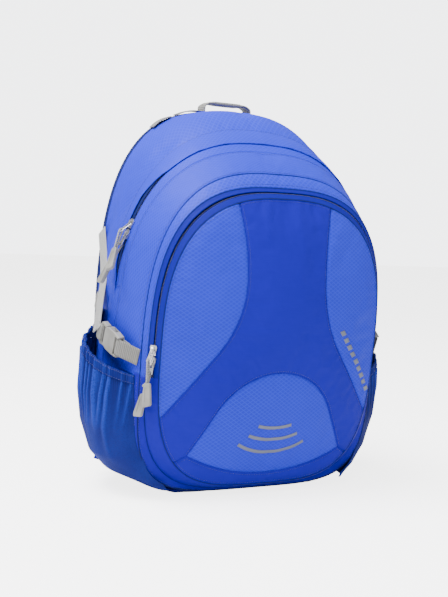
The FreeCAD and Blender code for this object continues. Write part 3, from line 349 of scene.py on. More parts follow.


# moulded plastic: fine spark-eroded grain and flow tone
def plasticMaterial(name, look):
    material, tree, shader = newMaterial(name, look["roughness"])
    place = coordinates(tree, "Object")
    fade = useGroup(tree, fadeGroup, {"Place": place, "Scale": 60.0})
    tone = ramp(tree, fade["Fade"], 0.0, 1.0, 0.3, 0.7)
    colour = mixColours(tree, tone, look["dark"], look["light"])
    tree.links.new(colour, shader.inputs["Base Color"])
    rough = ramp(tree, fade["Fine"], look["roughness"] - 0.08, look["roughness"] + 0.1)
    tree.links.new(rough, shader.inputs["Roughness"])
    addBump(tree, shader, fade["Fine"], 0.25, 0.00012)
    return material


buckleGrey = plasticMaterial("buckleGrey", {
    "dark": (0.20, 0.196, 0.183), "light": (0.27, 0.265, 0.25), "roughness": 0.45})
tipGrey = plasticMaterial("tipGrey", {
    "dark": (0.22, 0.216, 0.205), "light": (0.29, 0.285, 0.27), "roughness": 0.4})


def makeCordGrey():
    material, tree, shader = newMaterial("cordGrey", 0.65, 0.3)
    place = coordinates(tree, "Object")
    braid = [stripes(tree, place, direction, 0.0013)
             for direction in ((0.5, 0.4, 0.77), (-0.5, -0.4, 0.77))]
    both = maths(tree, "MINIMUM", braid[0], braid[1])
    tone = ramp(tree, both, 0.0, 1.0, 0.0, 0.35)
    colour = mixColours(tree, tone, (0.13, 0.13, 0.135), (0.36, 0.36, 0.365))
    tree.links.new(colour, shader.inputs["Base Color"])
    addBump(tree, shader, tone, 0.8, 0.0003)
    return material


def makeZipMetal():
    material, tree, shader = newMaterial("zipMetal", 0.28, metallic=1.0)
    fade = useGroup(tree, fadeGroup, {"Place": coordinates(tree, "Object"), "Scale": 110.0})
    tone = ramp(tree, fade["Fade"], 0.0, 1.0, 0.3, 0.75)
    colour = mixColours(tree, tone, (0.48, 0.48, 0.50), (0.80, 0.80, 0.82))
    tree.links.new(colour, shader.inputs["Base Color"])
    tree.links.new(ramp(tree, fade["Fine"], 0.2, 0.42), shader.inputs["Roughness"])
    addBump(tree, shader, fade["Fine"], 0.15, 0.0001)
    return material


def makePrintGrey():
    material, tree, shader = newMaterial("printGrey", 0.38, metallic=0.35)
    place = coordinates(tree, "UV")
    weave = useGroup(tree, weaveGroup, {"Place": place, "Pitch": 0.0011})
    fade = useGroup(tree, fadeGroup, {"Place": coordinates(tree, "Object"), "Scale": 50.0})
    tone = maths(tree, "MULTIPLY_ADD", fade["Fine"], 0.7)
    tone.node.inputs[2].default_value = 0.15
    colour = mixColours(tree, tone, (0.09, 0.10, 0.135), (0.19, 0.205, 0.26))
    tree.links.new(colour, shader.inputs["Base Color"])
    addBump(tree, shader, weave["Height"], 0.3, 0.0003)
    return material


def threadMaterial(name, dark, light):
    material, tree, shader = newMaterial(name, 0.5, 0.3)
    fade = useGroup(tree, fadeGroup, {"Place": coordinates(tree, "Object"), "Scale": 180.0})
    colour = mixColours(tree, fade["Fade"], dark, light)
    tree.links.new(colour, shader.inputs["Base Color"])
    addBump(tree, shader, fade["Fine"], 0.3, 0.0001)
    return material


cordGrey, zipMetal, printGrey = makeCordGrey(), makeZipMetal(), makePrintGrey()
threadBlue = threadMaterial("threadBlue", (0.03, 0.06, 0.42), (0.05, 0.10, 0.60))
threadNavy = threadMaterial("threadNavy", (0.006, 0.012, 0.11), (0.012, 0.02, 0.18))
threadGrey = threadMaterial("threadGrey", (0.20, 0.20, 0.20), (0.38, 0.38, 0.38))
print("materials made")

# ---- the sack's outlines, one behind the other from the back to the front, in mm ----

outlines = {  # depth, lean, half width, top, widest height, foot, roundness, squareness
    "rear": (84, -0.012, 154, 439, 179, 6, 2.9, 4.5),
    "crown": (46, -0.044, 158.5, 438, 180, 4.3, 2.45, 4.5),
    "zip": (12.8, -0.178, 166, 396, 192, 4.3, 2.5, 4.6),
    "seam": (-49, -0.058, 150, 365, 148, 5, 2.86, 4.3),
    "outer": (-57.7, -0.097, 145.4, 349.5, 163, 8, 2.99, 3.6),
    "inner": (-70.5, -0.082, 136.7, 338, 182, 14, 2.6, 3.4),
}
skin = {"leanHeight": 200, "columns": 288, "bulge": 26, "power": 2.2, "tape": 13,
        "tapeThick": 1.6, "split": 1.4, "zipEnd": 232, "pocketZipEnd": 140,
        "footSeam": 141, "flapTo": 19, "cloth": 1.1}


class Outline:
    def __init__(self, depth, lean, half, top, wide, foot, roundness, square):
        self.values = (depth, lean, half, top, wide, foot, roundness, square)
        self.depth, self.lean, self.half, self.top = depth, lean, half, top
        self.wide, self.foot, self.roundness, self.square = wide, foot, roundness, square
        self.dense = None

    def depthAt(self, height):
        return self.depth + self.lean * (height - skin["leanHeight"])

    def halfAt(self, height):
        if height >= self.wide:
            share, power = (height - self.wide) / (self.top - self.wide), self.roundness
        else:
            share, power = (self.wide - height) / (self.wide - self.foot), self.square
        return self.half * max(0.0, 1 - share ** power) ** (1 / power)

    # shares run from the foot's middle up the left side, over the top and down the right
    def table(self):
        if self.dense is None:
            turn = -0.5 * np.pi - np.linspace(0, 2 * np.pi, 6001)
            c, s = np.cos(turn), np.sin(turn)
            power = np.where(s >= 0, self.roundness, self.square)
            tall = np.where(s >= 0, self.top - self.wide, self.wide - self.foot)
            x = self.half * np.sign(c) * np.abs(c) ** (2 / power)
            z = self.wide + tall * np.sign(s) * np.abs(s) ** (2 / power)
            y = self.depth + self.lean * (z - skin["leanHeight"])
            points = np.stack([x, y, z], 1)
            steps = np.linalg.norm(np.diff(points, axis=0), axis=1)
            share = np.concatenate([[0], np.cumsum(steps)])
            self.length = share[-1]
            self.dense = (share / share[-1], points)
        return self.dense

    def at(self, shares):
        share, points = self.table()
        wrapped = np.mod(shares, 1.0)
        return np.stack([np.interp(wrapped, share, points[:, k]) for k in range(3)], 1)

    def shareAt(self, height):
        share, points = self.table()
        rising = share <= 0.5
        return float(np.interp(height, points[rising, 2], share[rising]))


def outline(name):
    return Outline(*outlines[name])


def between(a, b, share):
    return Outline(*[p + share * (q - p) for p, q in zip(a.values, b.values)])


def towards(a, b, distance):
    return between(a, b, distance / math.hypot(b.depth - a.depth, b.half - a.half))


# one outline of a run through three, bowed a little where the middle one is a corner
def bowed(a, b, c, middle, share, bow):
    if share <= middle:
        straight = [p + share / middle * (q - p) for p, q in zip(a.values, b.values)]
    else:
        part = (share - middle) / (1 - middle)
        straight = [q + part * (r - q) for q, r in zip(b.values, c.values)]
    curved = []
    for p, q, r in zip(a.values, b.values, c.values):
        low = (share - middle) * (share - 1) / middle
        mid = share * (share - 1) / (middle * (middle - 1))
        high = share * (share - middle) / (1 - middle)
        curved.append(p * low + q * mid + r * high)
    return Outline(*[s + bow * (k - s) for s, k in zip(straight, curved)])


rear, crown, zipMain = outline("rear"), outline("crown"), outline("zip")
seam, outer, inner = outline("seam"), outline("outer"), outline("inner")
tapeRear = towards(zipMain, crown, skin["tape"])
tapeFront = towards(zipMain, seam, skin["tape"])
zipLine = between(tapeRear, tapeFront, 0.5)
splitRear = towards(zipLine, tapeRear, skin["split"])
splitFront = towards(zipLine, tapeFront, skin["split"])
pocketZip = between(outer, inner, 0.5)
splitOuter = towards(pocketZip, outer, skin["split"])
splitInner = towards(pocketZip, inner, skin["split"])


def domeShare(x, z):
    high = z >= inner.wide
    power = np.where(high, inner.roundness, inner.square)
    tall = np.where(high, inner.top - inner.wide, inner.wide - inner.foot)
    return (np.abs(x / inner.half) ** power + np.abs((z - inner.wide) / tall) ** power) ** (
        1 / power)


def domePoint(x, z):
    x, z = np.asarray(x, float), np.asarray(z, float)
    share = np.minimum(1.0, domeShare(x, z))
    y = inner.depthAt(z) - skin["bulge"] * (1 - share ** skin["power"])
    return np.stack([x, y, z], -1)

# ---- cloth patches: points in mm, faces, a flat map, the sewn edge and the outward side ----


# a strip of cloth across outlines, from start to end along them or all the way round
def stripPatch(lines, start=None, end=None, columns=None):
    closed = start is None
    span = 1.0 if closed else np.mean([e - s for s, e in zip(start, end)])
    columns = columns or max(8, int(round(span * skin["columns"])))
    rows = []
    for number, line in enumerate(lines):
        if closed:
            shares = np.arange(columns) / columns
        else:
            shares = np.linspace(start[number], end[number], columns + 1)
        rows.append(line.at(shares))
    grid = np.stack(rows)
    wide = grid.shape[1]
    faces = []
    for r in range(len(lines) - 1):
        for c in range(wide if closed else wide - 1):
            d = (c + 1) % wide
            faces.append((r * wide + c, r * wide + d, (r + 1) * wide + d, (r + 1) * wide + c))
    across = np.concatenate([[0], np.cumsum(np.linalg.norm(
        np.diff(grid, axis=0), axis=2).mean(axis=1))])
    run = lines[0].length * span / columns
    uv = np.stack([np.tile(np.arange(wide) * run, (len(lines), 1)),
                   np.tile(across[:, None], (1, wide))], 2)
    held = np.zeros(grid.shape[:2], bool)
    held[0], held[-1] = True, True
    if not closed:
        held[:, 0], held[:, -1] = True, True
    return {"points": grid.reshape(-1, 3), "faces": faces, "uv": uv.reshape(-1, 2),
            "held": held.reshape(-1), "tags": [0] * len(faces), "seamAt": wide if closed else 0}


def joined(patches):
    points, faces, uv, held, tags, base = [], [], [], [], [], 0
    for patch in patches:
        points.append(patch["points"])
        faces += [tuple(v + base for v in face) for face in patch["faces"]]
        uv.append(patch["uv"])
        held.append(patch["held"])
        tags += patch["tags"]
        base += len(patch["points"])
    return {"points": np.concatenate(points), "faces": faces, "uv": np.concatenate(uv),
            "held": np.concatenate(held), "tags": tags}


# faces turned so that their normals point away from the bag's middle
def turnedOut(patch, middle=(0, 20, 200)):
    points, faces = patch["points"], patch["faces"]
    score = 0.0
    for face in faces[:: max(1, len(faces) // 400)]:
        a, b, c = (points[face[k]] for k in range(3))
        normal = np.cross(b - a, c - a)
        score += float(np.dot(normal, a - np.array(middle)))
    if score < 0:
        patch["faces"] = [face[::-1] for face in faces]
    return patch


# ---- the domed front, cut along the seams of its five panels ----

front = {"waistHalf": 49.5, "waistHeight": 250, "waistRadius": 136, "waistTurn": 37,
         "waistUpper": 365, "flare": 0.00137, "leg": 150, "ovalTop": 146, "ovalRadius": 80,
         "ovalTurn": 62, "ovalCorner": 53, "ovalBelly": 205, "cornerDrop": 70,
         "cornerFar": 215, "grid": 4.4, "rowShare": 0.87, "rimClear": 0.978,
         "seamClear": 3.4, "seamSide": 1.4, "barThick": 4, "barRadius": 84,
         "bars": ((84.5, 21), (70.5, 31), (55, 42))}


def arcPoints(centre, radius, start, end, count):
    turns = np.linspace(start, end, count)
    return np.stack([centre[0] + radius * np.cos(turns), centre[1] + radius * np.sin(turns)], 1)


# the hourglass's right-hand edge from its top to its foot, in x and z
def waistLine():
    half, mid = front["waistHalf"], front["waistHeight"]
    turn, radius = math.radians(front["waistTurn"]), front["waistRadius"]
    z = np.linspace(front["waistUpper"], mid, 34)
    upper = np.stack([half + front["flare"] * (z - mid) ** 2, z], 1)
    bend = arcPoints((half + radius, mid), radius, math.pi, math.pi + turn, 26)
    knee = bend[-1]
    foot = knee + front["leg"] * np.array([math.sin(turn), -math.cos(turn)])
    leg = knee + np.linspace(0, 1, 40)[1:, None] * (foot - knee)
    return np.concatenate([upper, bend[1:], leg])


def ovalShape():
    radius, turn = front["ovalRadius"], math.radians(front["ovalTurn"])
    centre = front["ovalTop"] - radius
    shoulder = np.array([radius * math.sin(turn), centre + radius * math.cos(turn)])
    corner = np.array([shoulder[0] + (shoulder[1] - front["ovalCorner"]) / math.tan(turn),
                       front["ovalCorner"]])
    return centre, radius, turn, shoulder, corner


def ovalTopLine():
    centre, radius, turn, shoulder, corner = ovalShape()
    cap = arcPoints((0, centre), radius, math.pi / 2 - turn, math.pi / 2 + turn, 54)
    side = corner + np.linspace(0, 1, 18)[:-1, None] * (shoulder - corner)
    return np.concatenate([side, cap, (side * (-1, 1))[::-1]])


# the oval's belly and the two short seams on to the corners of the bag
def baseLine():
    corner = ovalShape()[4]
    belly = front["ovalBelly"]
    sag = belly - math.sqrt(belly ** 2 - corner[0] ** 2)
    radius = (corner[0] ** 2 + sag ** 2) / (2 * sag)
    reach = math.asin(corner[0] / radius)
    low = arcPoints((0, corner[1] - sag + radius), radius, -math.pi / 2,
                    -math.pi / 2 + reach, 30)
    far = np.array([front["cornerFar"], corner[1] - front["cornerDrop"]])
    out = corner + np.linspace(0, 1, 42)[1:, None] * (far - corner)
    half = np.concatenate([low, out])
    return np.concatenate([(half[1:] * (-1, 1))[::-1], half])


waist, ovalTop, base = waistLine(), ovalTopLine(), baseLine()
seamLines = {"waistRight": waist, "waistLeft": waist * (-1, 1), "oval": ovalTop, "base": base}
regionNames = ("panel_left", "panel_right", "panel_oval", "panel_base", "panel_hourglass")


def regionOf(x, z):
    if z < np.interp(abs(x), base[len(base) // 2:, 0], base[len(base) // 2:, 1]):
        return 3
    centre, radius, turn, shoulder, corner = ovalShape()
    if math.hypot(x, z - centre) < radius and z > shoulder[1]:
        return 2
    if z <= shoulder[1] and abs(x) < corner[0] + (z - corner[1]) / math.tan(turn) * -1:
        return 2
    edge = np.interp(z, waist[::-1, 1], waist[::-1, 0])
    if abs(x) > edge:
        return 0 if x < 0 else 1
    return 4


def domePatch():
    columns = skin["columns"]
    rim = inner.at(np.arange(columns) / columns)
    flat = [(p[0], p[2]) for p in rim]
    edges = [(n, (n + 1) % columns) for n in range(columns)]
    inside = []
    step = front["grid"]
    for number, z in enumerate(np.arange(inner.foot, inner.top, step * front["rowShare"])):
        for x in np.arange(-inner.half, inner.half, step) + (step / 2 if number % 2 else 0):
            if domeShare(x, z) < front["rimClear"]:
                inside.append((x, z))
    seamPoints = np.concatenate(list(seamLines.values()))
    tree = kdtree.KDTree(len(seamPoints))
    for number, (x, z) in enumerate(seamPoints):
        tree.insert((x, z, 0), number)
    tree.balance()
    inside = [(x, z) for x, z in inside if tree.find((x, z, 0))[2] > front["seamClear"]]
    for line in seamLines.values():
        for number, (x, z) in enumerate(line):
            if domeShare(x, z) > 0.99:
                continue
            along = line[min(number + 1, len(line) - 1)] - line[max(number - 1, 0)]
            normal = np.array([-along[1], along[0]]) / np.linalg.norm(along)
            for away in (-front["seamSide"], front["seamSide"]):
                px, pz = line[number] + normal * away
                if tree.find((px, pz, 0))[2] > 1.2 and domeShare(px, pz) < 0.985:
                    inside.append((px, pz))
    for line in seamLines.values():
        kept = [number for number in range(len(line))
                if domeShare(*line[number]) < 1.03 or number in (0, len(line) - 1)]
        first = len(flat)
        flat += [tuple(line[number]) for number in kept]
        edges += [(first + n, first + n + 1) for n in range(len(kept) - 1)
                  if domeShare(*line[kept[n]]) < 1.0 or domeShare(*line[kept[n + 1]]) < 1.0]
    flat += inside
    cut = geometry.delaunay_2d_cdt([Vector(p) for p in flat], edges, [], 0, 1e-4)
    points, faces = cut[0], cut[2]
    plane = np.array([tuple(p) for p in points])
    keep, tags, used = [], [], {}
    for face in faces:
        x, z = plane[list(face)].mean(axis=0)
        corners = plane[list(face)]
        if domeShare(x, z) > 1.0 or domeShare(corners[:, 0], corners[:, 1]).max() > 1.004:
            continue
        keep.append([used.setdefault(v, len(used)) for v in face])
        tags.append(regionOf(x, z))
    order = sorted(used, key=used.get)
    plane = plane[order]
    solid = domePoint(plane[:, 0], plane[:, 1])
    seamTree = kdtree.KDTree(len(seamPoints) * 3)
    dense = []
    for line in seamLines.values():
        along = np.linspace(0, len(line) - 1, len(line) * 3)
        dense += list(zip(np.interp(along, range(len(line)), line[:, 0]),
                          np.interp(along, range(len(line)), line[:, 1])))
    for number, (x, z) in enumerate(dense[: len(seamPoints) * 3]):
        seamTree.insert((x, z, 0), number)
    seamTree.balance()
    held = np.array([seamTree.find((x, z, 0))[2] < 0.8 or domeShare(x, z) > 0.992
                     for x, z in plane])
    return {"points": solid, "faces": [tuple(f) for f in keep], "uv": plane.copy(),
            "held": held, "tags": tags}


dome = turnedOut(domePatch())
print("dome cut: %d points, %d faces" % (len(dome["points"]), len(dome["faces"])))

# ---- the rings of fabric round the sides, the top and the foot ----


def ringRun(a, b, count, first=0.0, last=1.0):
    return [between(a, b, first + (last - first) * n / count) for n in range(count + 1)]


def openEnds(lines, height, over=True):
    shares = [line.shareAt(height) for line in lines]
    if over:
        return shares, [1 - s for s in shares]
    return [-s for s in shares], shares


rearLines = [bowed(rear, crown, tapeRear, 0.56, n / 17, 0.45) for n in range(18)]
sideLines = ringRun(tapeFront, seam, 12)
cheekLines = ringRun(tapeRear, tapeFront, 6)
lipLines = ringRun(seam, outer, 5)
chinLines = ringRun(outer, inner, 4)
rearGusset = turnedOut(stripPatch(rearLines))
frontGusset = turnedOut(joined([stripPatch(sideLines),
                                stripPatch(cheekLines, *openEnds(cheekLines, skin["zipEnd"],
                                                                 False))]))
frontGusset["tags"] = [int(frontGusset["points"][list(face), 2].mean() < skin["footSeam"])
                       for face in frontGusset["faces"]]
pocketUpper = turnedOut(stripPatch(lipLines, *openEnds(lipLines, skin["pocketZipEnd"])))
pocketLower = turnedOut(joined([
    stripPatch(lipLines, *openEnds(lipLines, skin["pocketZipEnd"], False)),
    stripPatch(chinLines, *openEnds(chinLines, skin["pocketZipEnd"], False))]))
sackPatches = {"dome": dome, "rear_gusset": rearGusset, "front_gusset": frontGusset,
               "pocket_gusset_upper": pocketUpper, "pocket_gusset_lower": pocketLower}

# ---- the stuffing: each sewn panel swells and creases between its held edges ----

stuffing = {"frames": 22, "pressure": 1.3, "slack": -0.006, "tension": 22, "bending": 0.35,
            "mass": 0.25, "most": 5.5, "softest": 3.2}


def simulate(name, points, faces, held, look):
    mesh = bpy.data.meshes.new(name)
    mesh.from_pydata((points * mm).tolist(), [], faces)
    obj = bpy.data.objects.new(name, mesh)
    scene.collection.objects.link(obj)
    group = obj.vertex_groups.new(name="sewn")
    group.add([int(n) for n in np.flatnonzero(held)], 1.0, "REPLACE")
    cloth = obj.modifiers.new("cloth", "CLOTH")
    use = cloth.settings
    use.quality = 6
    use.mass = look["mass"]
    use.vertex_group_mass = "sewn"
    use.tension_stiffness = look["tension"]
    use.compression_stiffness = look["tension"]
    use.shear_stiffness = look["tension"] * 0.4
    use.bending_stiffness = look["bending"]
    use.use_pressure = True
    use.uniform_pressure_force = look["pressure"]
    use.shrink_min = look["slack"]
    use.effector_weights.gravity = 0
    cloth.collision_settings.use_collision = False
    cloth.point_cache.frame_start = 1
    cloth.point_cache.frame_end = look["frames"]
    for step in range(1, look["frames"] + 1):
        scene.frame_set(step)
    shown = obj.evaluated_get(bpy.context.evaluated_depsgraph_get()).to_mesh()
    moved = np.empty(len(points) * 3, np.float32)
    shown.vertices.foreach_get("co", moved)
    moved = moved.reshape(-1, 3).astype(float) / mm
    bpy.data.objects.remove(obj)
    scene.frame_set(1)
    shift = moved - points
    reach = np.linalg.norm(shift, axis=1, keepdims=True)
    print("%s: mean move %.2f mm, most %.2f mm" % (name, reach.mean(), reach.max()))
    soft = look["softest"]
    limit = np.where(reach > soft, soft + (look["most"] - soft) * np.tanh(
        (reach - soft) / (look["most"] - soft)), reach)
    return points + shift * limit / np.maximum(reach, 1e-9)


names = list(sackPatches)
whole = joined([sackPatches[n] for n in names])
swollen = simulate("sackCloth", whole["points"], whole["faces"], whole["held"], stuffing)
first = 0
for n in names:
    count = len(sackPatches[n]["points"])
    sackPatches[n]["points"] = swollen[first:first + count]
    first += count
print("sack cloth ready")

# ---- mesh pieces ----


def patchMesh(name, patch):
    mesh = bpy.data.meshes.new(name)
    mesh.from_pydata((np.asarray(patch["points"]) * mm).tolist(), [], patch["faces"])
    layer = mesh.uv_layers.new(name="cloth")
    corner = np.empty(len(mesh.loops), np.int32)
    mesh.loops.foreach_get("vertex_index", corner)
    uv = np.asarray(patch["uv"])[corner] * mm
    seamAt = patch.get("seamAt", 0)
    if seamAt:
        full = patch["uv"][:, 0].max() + patch["uv"][1, 0]
        sides = 4
        quads = uv.reshape(-1, sides, 2)
        wraps = quads[:, :, 0].max(axis=1) - quads[:, :, 0].min(axis=1) > full * mm / 2
        low = quads[:, :, 0] < full * mm / 2
        quads[:, :, 0] += (wraps[:, None] & low) * full * mm
        uv = quads.reshape(-1, 2)
    layer.data.foreach_set("uv", uv.astype(np.float32).ravel())
    mesh.polygons.foreach_set("material_index", np.array(patch["tags"], np.int32))
    mesh.validate()
    return mesh


# the body a piece rides on
def worn(obj, body="pack"):
    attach(obj, body)


def addObject(name, mesh, material=None, smooth=True):
    obj = bpy.data.objects.new(name, mesh)
    scene.collection.objects.link(obj)
    if material:
        mesh.materials.clear()
        mesh.materials.append(material)
    if smooth:
        mesh.polygons.foreach_set("use_smooth", [True] * len(mesh.polygons))
    return obj


# the object's evaluated shape as a plain mesh, with its modifiers gone
def settle(obj):
    shown = obj.evaluated_get(bpy.context.evaluated_depsgraph_get())
    mesh = bpy.data.meshes.new_from_object(shown)
    mesh.name = obj.name
    obj.modifiers.clear()
    obj.data = mesh
    return obj


def subdivided(obj, levels=1):
    extra = obj.modifiers.new("finer", "SUBSURF")
    extra.levels = extra.render_levels = levels
    extra.boundary_smooth = "PRESERVE_CORNERS"
    extra.uv_smooth = "PRESERVE_BOUNDARIES"
    return settle(obj)


def thickened(obj, thickness, offset=-1.0):
    wall = obj.modifiers.new("wall", "SOLIDIFY")
    wall.thickness = thickness * mm
    wall.offset = offset
    wall.use_even_offset = False
    return obj


def readPoints(mesh):
    co = np.empty(len(mesh.vertices) * 3, np.float32)
    mesh.vertices.foreach_get("co", co)
    return co.reshape(-1, 3).astype(float) / mm


def writePoints(mesh, points):
    mesh.vertices.foreach_set("co", (points * mm).astype(np.float32).ravel())
    mesh.update()


def readNormals(mesh):
    normals = np.empty(len(mesh.vertices) * 3, np.float32)
    mesh.vertex_normals.foreach_get("vector", normals)
    return normals.reshape(-1, 3).astype(float)


# irregular waves along a length, the same each run
def ripple(along, longest, seed):
    maker = np.random.default_rng(seed)
    total = np.zeros_like(along)
    for octave in (1.0, 1.6, 2.7, 4.1):
        phase, tilt = maker.uniform(0, 2 * math.pi), maker.uniform(0.85, 1.15)
        total += np.sin(2 * math.pi * along * octave * tilt / longest + phase) / octave ** 0.8
    return total / 2


def nearestAlong(points, lines):
    tree = kdtree.KDTree(sum(len(line) for line in lines))
    spots, base = [], 0.0
    number = 0
    for line in lines:
        steps = np.concatenate([[0], np.cumsum(np.linalg.norm(np.diff(line, axis=0), axis=1))])
        for point, step in zip(line, steps):
            tree.insert(point, number)
            spots.append(base + step)
            number += 1
        base += steps[-1] + 500
    tree.balance()
    found = [tree.find(p) for p in points]
    return (np.array([f[2] for f in found]), np.array([spots[f[1]] for f in found]))


# seams draw the cloth in: a crease at the stitches and small puckers square to them
sewing = {"crease": 1.5, "creaseWide": 1.7, "pucker": 0.5, "puckerReach": 8.0,
          "puckerPitch": 11.0}


def pucker(obj, lines, seed, crease=None, pinned=0.0):
    mesh = obj.data
    points, normals = readPoints(mesh), readNormals(mesh)
    away, along = nearestAlong(points, lines)
    depth = sewing["crease"] if crease is None else crease
    sunk = -depth * np.exp(-(away / sewing["creaseWide"]) ** 2)
    wave = ripple(along, sewing["puckerPitch"], seed) * (0.6 + 0.4 * ripple(along, 90, seed + 1))
    near = np.exp(-away / sewing["puckerReach"]) * (1 - np.exp(-(away / 2.0) ** 2))
    shift = sunk + sewing["pucker"] * wave * near
    if pinned:
        shift *= 1 - np.exp(-(away / pinned) ** 2)
    writePoints(mesh, points + normals * shift[:, None])
    return obj

# ---- the sack's fabric pieces ----


def finishPiece(obj, node, body="pack", extra=()):
    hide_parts(node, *extra)
    worn(obj, body)
    return obj


def plane3(line, lift=0.0):
    inside = line[domeShare(line[:, 0], line[:, 1]) < 1.0]
    points = domePoint(inside[:, 0], inside[:, 1])
    points[:, 1] -= lift
    return points


domeObj = subdivided(addObject("domeWhole", patchMesh("domeWhole", dome)))
domeSeams = [plane3(line) for line in seamLines.values()]
rimRing = inner.at(np.linspace(0, 1, 900))
pucker(domeObj, domeSeams, 5)
pucker(domeObj, [rimRing], 9, crease=0.0, pinned=3.0)


# soft standing folds, strongest at one end and fading along their length
def addFolds(obj, folds):
    mesh = obj.data
    points, normals = readPoints(mesh), readNormals(mesh)
    shift = np.zeros(len(points))
    for x, z, lean, length, width, rise in folds:
        direction = np.array([math.sin(math.radians(lean)), math.cos(math.radians(lean))])
        offset = points[:, [0, 2]] - (x, z)
        along = offset @ direction
        across = offset @ np.array([direction[1], -direction[0]])
        shift += rise * np.exp(-(across / width) ** 2) * np.exp(-(along / length) ** 2)
    away = nearestAlong(points, domeSeams + [rimRing])[0]
    shift *= 1 - np.exp(-(away / 4.0) ** 2)
    writePoints(mesh, points + normals * shift[:, None])


frontFolds = [  # x, z, lean from upright, length, width, rise
    (-24, 318, 3, 26, 5.5, 1.1), (-6, 322, -2, 30, 6.0, -0.9), (14, 316, -6, 30, 6.0, 1.0),
    (34, 320, -12, 24, 5.0, -0.8), (-62, 300, -24, 22, 6, 1.1), (-74, 290, -32, 20, 5, -0.9),
    (66, 302, 26, 24, 6, 1.0), (78, 286, 34, 22, 6, -0.9), (-92, 150, 42, 26, 8, 0.9),
    (104, 150, -40, 28, 8, 1.0), (-30, 200, 20, 34, 12, 0.9), (26, 190, -24, 34, 12, -0.8),
    (-46, 118, 52, 22, 7, 0.7), (52, 112, -50, 22, 7, 0.8), (-70, 42, 80, 24, 6, 0.8),
    (60, 36, -82, 26, 6, 0.8), (4, 24, 90, 40, 6, 0.7), (-112, 250, 12, 30, 7, 0.8),
    (112, 236, -10, 34, 8, 0.9)]
addFolds(domeObj, frontFolds)
domeTree = BVHTree.FromObject(domeObj, bpy.context.evaluated_depsgraph_get())


# the faces of one cloth out of a mesh that was sewn as a whole
def cutOut(source, number, name, finish):
    maker = bmesh.new()
    maker.from_mesh(source)
    extra = [face for face in maker.faces if face.material_index != number]
    bmesh.ops.delete(maker, geom=extra, context="FACES")
    for face in maker.faces:
        face.material_index = 0
    mesh = bpy.data.meshes.new(name)
    maker.to_mesh(mesh)
    maker.free()
    obj = addObject(name, mesh, finish)
    thickened(obj, skin["cloth"])
    return obj


def splitDome():
    panelCloth = {"panel_left": ripstopLight, "panel_right": ripstopLight,
                  "panel_oval": ripstopLight, "panel_base": plainDark,
                  "panel_hourglass": plainDark}
    for number, name in enumerate(regionNames):
        obj = cutOut(domeObj.data, number, name + "_cloth", panelCloth[name])
        finishPiece(obj, name)
    bpy.data.objects.remove(domeObj)


seamRing = seam.at(np.linspace(0, 1, 1000))
outerRing = outer.at(np.linspace(0, 1, 1000))
rearRing = rear.at(np.linspace(0, 1, 1100))
tapeFrontRing = tapeFront.at(np.linspace(0, 1, 1000))
tapeRearRing = tapeRear.at(np.linspace(0, 1, 1000))


def makeSides():
    made = {}
    for name, patch, cloth, slotName, lines, seed in (
            ("rear_gusset", rearGusset, ripstopLight, "ripstop_light",
             [rearRing, tapeRearRing], 21),
            ("front_gusset", frontGusset, ripstopLight, "ripstop_light",
             [tapeFrontRing, seamRing], 31),
            ("pocket_gusset_upper", pocketUpper, ripstopLight, "ripstop_light",
             [seamRing, outerRing], 41),
            ("pocket_gusset_lower", pocketLower, plainDark, "plain_dark",
             [seamRing, outerRing, rimRing], 51)):
        obj = subdivided(addObject(name + "_whole", patchMesh(name + "_whole", patch)))
        pucker(obj, lines, seed, crease=0.0, pinned=2.0)
        made[name] = BVHTree.FromObject(obj, bpy.context.evaluated_depsgraph_get())
        finishPiece(cutOut(obj.data, 0, name + "_cloth", cloth), name)
        if name == "front_gusset":
            foot = cutOut(obj.data, 1, name + "_foot", plainDark)
            worn(foot)
        bpy.data.objects.remove(obj)
    return made


sideTrees = makeSides()
splitDome()
print("sack pieces made")
